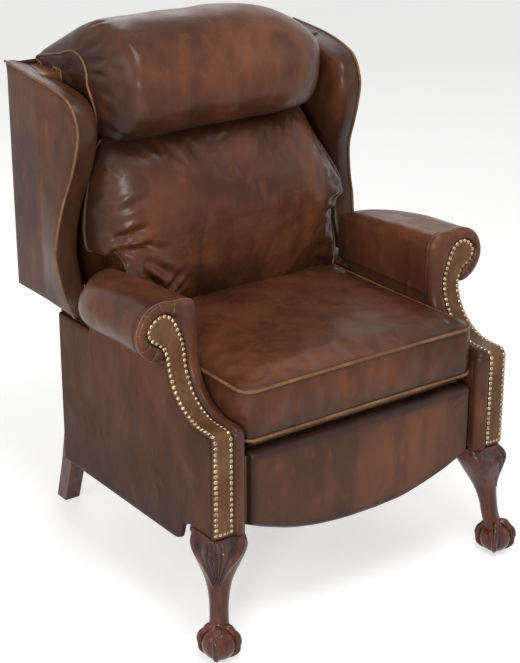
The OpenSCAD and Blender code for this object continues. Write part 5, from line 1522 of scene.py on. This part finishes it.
@dataclass
class BackPanels:
    """Leather over the outside of the back and the inner back behind the cushions."""

    def outside(self) -> Surface:
        """Outside back, narrow below the wings and broad between them, with a soft crown."""
        z = np.concatenate([np.linspace(323, 521, 26), [524, 526.5, 529.5, 533], np.linspace(538, 984.5, 54)])
        half = np.interp(z, [322, 526.4, 537, 986], [249.4, 249.4, 331.6, 331.6])
        s = np.concatenate([[-1, -0.996, -0.985, -0.96], np.linspace(-0.92, 0.92, 40), [0.96, 0.985, 0.996, 1]])
        x = s[None] * half[:, None]
        zz = np.repeat(z[:, None], len(s), 1)
        near = np.minimum(np.minimum(half[:, None] - abs(x), zz - 323), 984.5 - zz)
        y = 336.4 + 12.8 * edge_rise(near, 6) + 3.0 * np.clip(near / 90, 0, 1) ** 0.8
        front = np.stack([x, y, zz], -1)
        # Painted shade along the border.
        return slab(front, np.stack([x, np.full_like(x, 336.4), zz], -1), 0.6 * np.exp(-near / 9))

    def build(self) -> None:
        """Both panels, and the piping round the outside one."""
        add_piece("outside_back_leather", self.outside(), Body.BACK, Finish.PANEL, ["outside_back"])
        inner = padded_box((-293.6, 236.0, 536.0), (293.6, 247.4, 939.6), 3.0)
        lower = padded_box((-249.6, 236.0, 440.4), (249.6, 247.4, 535.6), 3.0)
        add_piece("inside_back_leather", join([inner, lower]), Body.BACK, Finish.PANEL, ["inside_back"])
        outline = [(-331, 984), (-331, 760), (-331, 545), (-290, 533), (-252, 524), (-249, 430), (-249, 324), (0, 323),
                   (249, 324), (249, 430), (252, 524), (290, 533), (331, 545), (331, 760), (331, 984)]
        path = even_path(np.array(outline, float), 260)
        path = np.column_stack([path[:, 0], np.full(len(path), 348.5), path[:, 1]])
        welt("outside_back_welt", path, Body.BACK, 2.6, up=(0, 1, 0), finish=Finish.DARK_WELT)


# Legs


@dataclass
class FrontLeg:
    """Carved cabriole leg: knee with a fan of flutes, rolled brackets on both sides, claw over a ball."""

    height: float = 240.0
    ball_x: float = 345.0
    ball_y: float = -357.0
    ball_r: float = 33.0
    top_x: float = 313.5
    top_y: float = -313.5

    def centre(self, s: Array) -> tuple[Array, Array]:
        """Centre of the leg at share s of its height, from the ball up to the middle of the post."""
        share = np.interp(s, [0, .145, .195, .245, .28, .31, .37, .45, .54, .63, .71, .79, .87, .925, .97, 1],
                          [0, 0, .01, .05, .12, .20, .27, .33, .42, .52, .60, .66, .72, .80, .92, 1])
        return self.ball_x + share * (self.top_x - self.ball_x), self.ball_y + share * (self.top_y - self.ball_y)

    def body(self) -> Surface:
        """Leg in rings of superellipses, with the flutes of the knee cut as cos^2 grooves that fan out downwards.

        The ring at share s is |x / r|^n + |y / r|^n = 1, with r and n taken from a smooth table.
        """
        s = np.linspace(0.20, 1, 130)
        rows = np.array([[.20, 25, 2], [.235, 22.5, 2], [.27, 20.0, 2], [.31, 18.3, 2], [.37, 17.8, 2], [.45, 18.4, 2],
                         [.54, 20.6, 2], [.63, 25.0, 2.1], [.71, 31.5, 2.4], [.79, 39.0, 2.7], [.86, 44.8, 3.0],
                         [.91, 46.0, 3.5], [.95, 43.0, 4.4], [.98, 38.8, 6.0], [1.0, 36.4, 9.0]])
        curve = smooth_path(rows, 300)
        r, n = np.interp(s, curve[:, 0], curve[:, 1]), np.interp(s, curve[:, 0], curve[:, 2])
        cx, cy = self.centre(s)
        t = np.linspace(0, 2 * np.pi, 176, endpoint=False)
        c, d = np.cos(t)[None], np.sin(t)[None]
        x = r[:, None] * np.sign(c) * abs(c) ** (2 / n[:, None])
        y = r[:, None] * np.sign(d) * abs(d) ** (2 / n[:, None])
        # Leaf on the outer corner: flutes fan from a point at share 0.62 up to the whole knee
        a = np.angle(np.exp(1j * (t - math.radians(-45))))[None]
        up = np.clip((s - 0.60) / 0.36, 0, 1)[:, None]
        spread = 0.14 + 1.02 * up ** 0.8
        rest = 1.0 - s[:, None]
        inside = np.clip(1 - (abs(a) / spread) ** 6, 0, 1) * np.clip(up / 0.10, 0, 1) * np.clip(rest / 0.035, 0, 1)
        flute = np.cos(np.pi * 3.5 * a / spread) ** 2
        rim = np.exp(-((abs(a) - spread) / 0.10) ** 2) * np.clip(up / 0.05, 0, 1) * np.clip(rest / 0.05, 0, 1)
        move = inside * (3.2 * flute - 2.6) + 1.8 * rim
        grow = 1 + move / np.maximum(np.hypot(x, y), 1)
        rings = np.stack([cx[:, None] + x * grow, cy[:, None] + y * grow,
                          np.broadcast_to((s * self.height)[:, None], x.shape)], -1)
        # Painted shade in the grooves of the flutes; the leaf's rim is a little darker too.
        return loft(rings, np.clip(inside * (1 - flute) * 0.95 + 0.2 * rim, 0, 1))

    def foot(self) -> list[Surface]:
        """Ball, four toes over it with knuckles and nails, and the web where they meet the ankle."""
        parts = []
        t = np.linspace(0.02, math.pi - 0.02, 40)
        a = np.linspace(0, 2 * np.pi, 56, endpoint=False)
        r, z = self.ball_r * np.sin(t), self.ball_r + 1.0 - (self.ball_r) * np.cos(t)
        ball = np.stack([self.ball_x + r[:, None] * np.cos(a), self.ball_y + r[:, None] * np.sin(a),
                         np.repeat(np.maximum(z, 0.05)[:, None], 56, 1)], -1)
        # Painted shade low on the ball, towards the floor.
        parts.append(loft(ball, np.repeat(0.55 * np.exp(-(z / 14))[:, None], 56, 1)))
        for k in range(4):
            way = math.radians(-45 + 90 * k)
            out = np.array([math.cos(way), math.sin(way), 0])
            up = np.array([0, 0, 1.0])
            mid = np.array([self.ball_x, self.ball_y, self.ball_r + 1])
            lift = np.radians(np.array([96, 78, 60, 44, 28, 12, -4, -22, -40, -56, -66]))
            reach = np.array([-2.0, 1.0, 3.2, 2.0, 3.8, 2.2, 1.2, 2.8, 1.0, -0.5, -3.5]) + self.ball_r
            line = smooth_path([mid + q * (math.cos(b) * out + math.sin(b) * up) for b, q in zip(lift, reach)], 46)
            s = np.linspace(0, 1, 46)
            width = (6.4 + 1.8 * np.exp(-((s - 0.22) / 0.09) ** 2) + 1.7 * np.exp(-((s - 0.52) / 0.08) ** 2)
                     - 3.6 * np.clip((s - 0.72) / 0.28, 0, 1))
            line[:, 2] = np.maximum(line[:, 2], width + 0.1)
            parts.append(tube(line, width, 14, up=np.cross(out, up)))
        return parts

    def volute(self, centre: Sequence[float], across: float, along: Array, sign: float) -> list[Surface]:
        """Rolled end of a bracket: a drum with a spiral bead on its face.

        Args:
            centre: middle of the drum.
            across: half its length.
            along: unit direction of its axis.
            sign: which way the spiral turns.
        """
        centre = np.asarray(centre, float)
        up = np.array([0, 0, 1.0])
        side = np.cross(up, along)
        a = np.linspace(0, 2 * np.pi, 40, endpoint=False)
        flat = np.cos(a)[:, None] * side + np.sin(a)[:, None] * up
        edge = [(across, 8.0), (across + 0.01, 10.0), (across - 1.5, 11.8),
                (-across + 1.5, 11.8), (-across - 0.01, 10.0), (-across, 8.0)]
        # The drum carries a little painted shade all over.
        drum = loft(np.stack([centre + along * d + r * flat for d, r in edge]), np.full((6, 40), 0.3))
        t = np.linspace(0, 3.6 * np.pi, 70)
        r = 10.0 * np.exp(-t / 8.2)
        spiral = r[:, None] * (np.cos(t)[:, None] * side * sign + np.sin(t)[:, None] * up)
        parts = [drum]
        for face in (1, -1):
            curl = centre + along * face * (across + 0.2) + spiral
            parts.append(tube(curl, 1.9 - 0.9 * t / t[-1], 7, up=along))
        return parts

    def brackets(self) -> list[Surface]:
        """Both brackets: a drum beside the side panel and one beside the footrest, each with a wing to the knee."""
        parts = self.volute((326.5, -269.5, 227.4), 14.6, np.array([1.0, 0, 0]), -1)
        parts += self.volute((288.9, -332.0, 227.6), 14.2, np.array([0, 1.0, 0]), 1)
        arm = smooth_path([(326.5, -262, 232), (326.5, -272, 213), (324.5, -284, 196), (322, -298, 184),
                           (322, -312, 172)], 30)
        width = np.linspace(9, 17, 30)
        parts.append(tube(arm, width, 16, up=(1, 0, 0)))
        arm = smooth_path([(284, -332, 233), (293, -332, 214), (303, -331, 198), (314, -328, 184),
                           (324, -326, 172)], 30)
        parts.append(tube(arm, width, 16, up=(0, 1, 0)))
        return parts

    def build(self, side: Side) -> None:
        """Leg of one side."""
        shape = join([self.body()] + self.foot() + self.brackets()).mirrored(side)
        add_piece(f"carved_leg_{side.tag}", shape, Body.BASE, Finish.MAHOGANY, [f"front_leg_{side.tag}"])


# Frame parts that keep their own meshes


def dress_frame(nodes: dict[str, bpy.types.Object]) -> None:
    """Gives the parts that keep the frame's mesh their finishes, slot by slot."""
    finishes = {"mahogany": Finish.MAHOGANY, "frame_wood": Finish.FRAME_WOOD, "leather": Finish.PANEL,
                "facing_leather": Finish.FACING, "steel": Finish.STEEL, "spring_steel": Finish.SPRING,
                "nylon": Finish.NYLON, "deck_cloth": Finish.DECK, "webbing": Finish.WEBBING}
    by_slot: dict[str, bpy.types.Material] = {}
    for node in nodes.values():
        for slot in node.material_slots:
            if slot.material is None:
                continue
            word = slot.material.name.split(".")[0]
            if word in finishes:
                by_slot.setdefault(word, finishes[word].material())
                slot.material = by_slot[word]
    LOG.info("finishes on the frame's own parts: %s", ", ".join(sorted(by_slot)))


# Studio


@dataclass(frozen=True)
class Lamp:
    """Area lamp that looks at the chair."""

    name: str
    place: tuple[float, float, float]
    size: float
    watts: float
    aim: tuple[float, float, float] = (0.0, 0.0, 0.5)

    def build(self) -> None:
        """Adds the lamp."""
        data = bpy.data.lights.new(self.name, "AREA")
        data.shape = "DISK"
        data.size = self.size
        data.energy = self.watts
        made = bpy.data.objects.new(self.name, data)
        made.location = self.place
        turn_to(made, np.array(self.place) - np.array(self.aim))
        bpy.context.scene.collection.objects.link(made)


def turn_to(piece: bpy.types.Object, back: Array) -> None:
    """Turns an object so that its +Z points along back and its +X stays level."""
    z = unit(np.asarray(back, float))
    x = unit(np.cross([0.0, 0.0, 1.0], z))
    y = np.cross(z, x)
    piece.rotation_euler = Matrix(np.stack([x, y, z], 1).tolist()).to_euler()


@dataclass(frozen=True)
class Studio:
    """Camera of the photograph, lamps, and a white floor that keeps the chair's shadow."""

    eye: tuple[float, float, float] = (-1.85674, -2.56517, 1.72348)
    azimuth: float = -36.0
    elevation: float = 21.8908
    lens: float = 92.07
    lamps: tuple[Lamp, ...] = (
        Lamp("top", (-0.5, -1.4, 3.1), 1.2, 36), Lamp("front", (-2.4, -2.4, 1.3), 0.8, 44),
        Lamp("left", (-2.9, -0.2, 1.7), 1.4, 14), Lamp("fill", (2.6, -2.2, 1.8), 2.2, 10),
        Lamp("rim", (1.2, 2.4, 2.6), 1.6, 14))

    def camera(self) -> None:
        """Camera at its place in the photograph, level and with 36 mm along the picture's long side."""
        data = bpy.data.cameras.new("camera")
        data.lens = self.lens
        data.sensor_width = data.sensor_height = 36.0
        data.sensor_fit = "AUTO"
        data.clip_end = 100
        made = bpy.data.objects.new("camera", data)
        made.location = self.eye
        az, el = math.radians(self.azimuth), math.radians(self.elevation)
        turn_to(made, np.array([math.sin(az) * math.cos(el), -math.cos(az) * math.cos(el), math.sin(el)]))
        bpy.context.scene.collection.objects.link(made)
        bpy.context.scene.camera = made

    def world(self) -> None:
        """White surroundings: full white where the camera, a gloss or a clear piece sees them, and softer as light."""
        world = bpy.data.worlds.new("studio")
        bpy.context.scene.world = world
        world.use_nodes = True
        tree = world.node_tree
        tree.nodes.clear()
        seen, light = tree.nodes.new("ShaderNodeBackground"), tree.nodes.new("ShaderNodeBackground")
        seen.inputs["Color"].default_value = (1, 1, 1, 1)
        seen.inputs["Strength"].default_value = 1.0
        light.inputs["Color"].default_value = (1.0, 0.99, 0.98, 1)
        light.inputs["Strength"].default_value = 0.34
        mix, out = tree.nodes.new("ShaderNodeMixShader"), tree.nodes.new("ShaderNodeOutputWorld")
        tree.links.new(self.looked_at(tree), mix.inputs[0])
        tree.links.new(light.outputs[0], mix.inputs[1])
        tree.links.new(seen.outputs[0], mix.inputs[2])
        tree.links.new(mix.outputs[0], out.inputs[0])

    @staticmethod
    def looked_at(tree: bpy.types.NodeTree) -> bpy.types.NodeSocket:
        """Share that is 1 where a camera, glossy or transmission ray asks."""
        ray = tree.nodes.new("ShaderNodeLightPath")
        first, second = tree.nodes.new("ShaderNodeMath"), tree.nodes.new("ShaderNodeMath")
        first.operation = second.operation = "MAXIMUM"
        tree.links.new(ray.outputs["Is Camera Ray"], first.inputs[0])
        tree.links.new(ray.outputs["Is Glossy Ray"], first.inputs[1])
        tree.links.new(first.outputs[0], second.inputs[0])
        tree.links.new(ray.outputs["Is Transmission Ray"], second.inputs[1])
        return second.outputs[0]

    def floor(self) -> None:
        """White floor: plain paint as light, with a glow of its own where it is looked at."""
        mesh = bpy.data.meshes.new("floor")
        mesh.from_pydata([(-9, -9, 0), (9, -9, 0), (9, 9, 0), (-9, 9, 0)], [], [(0, 1, 2, 3)])
        made = bpy.data.objects.new("floor", mesh)
        bpy.context.scene.collection.objects.link(made)
        g = Graph("floor_white")
        glow = g.node("ShaderNodeMath", operation="MULTIPLY")
        g.link(self.looked_at(g.tree), glow.inputs[0])
        glow.inputs[1].default_value = 0.52
        g.shade(Base_Color=(0.80, 0.80, 0.80, 1), Roughness=0.9, Specular_IOR_Level=0.0,
                Emission_Color=(1, 1, 1, 1), Emission_Strength=glow.outputs[0])
        mesh.materials.append(g.material)

    def build(self) -> None:
        """Camera, light and floor."""
        scene = bpy.context.scene
        scene.view_settings.view_transform = "Standard"
        self.camera()
        self.world()
        self.floor()
        for lamp in self.lamps:
            lamp.build()


def main() -> None:
    """Builds the studio, gives the frame's own parts their finishes, and builds the chair piece by piece."""
    logging.basicConfig(level=logging.INFO, format="%(message)s")
    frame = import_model()
    Studio().build()
    dress_frame(frame["nodes"])
    arms = Arms()
    arms.build()
    SidePanels(arms).build()
    for side in Side:
        FrontLeg().build(side)
    SeatCushion().build()
    FootrestPanel().build()
    Wings().build()
    BackPanels().build()
    LumbarCushion().build()
    HeadCushion().build()


if __name__ == "__main__":
    main()
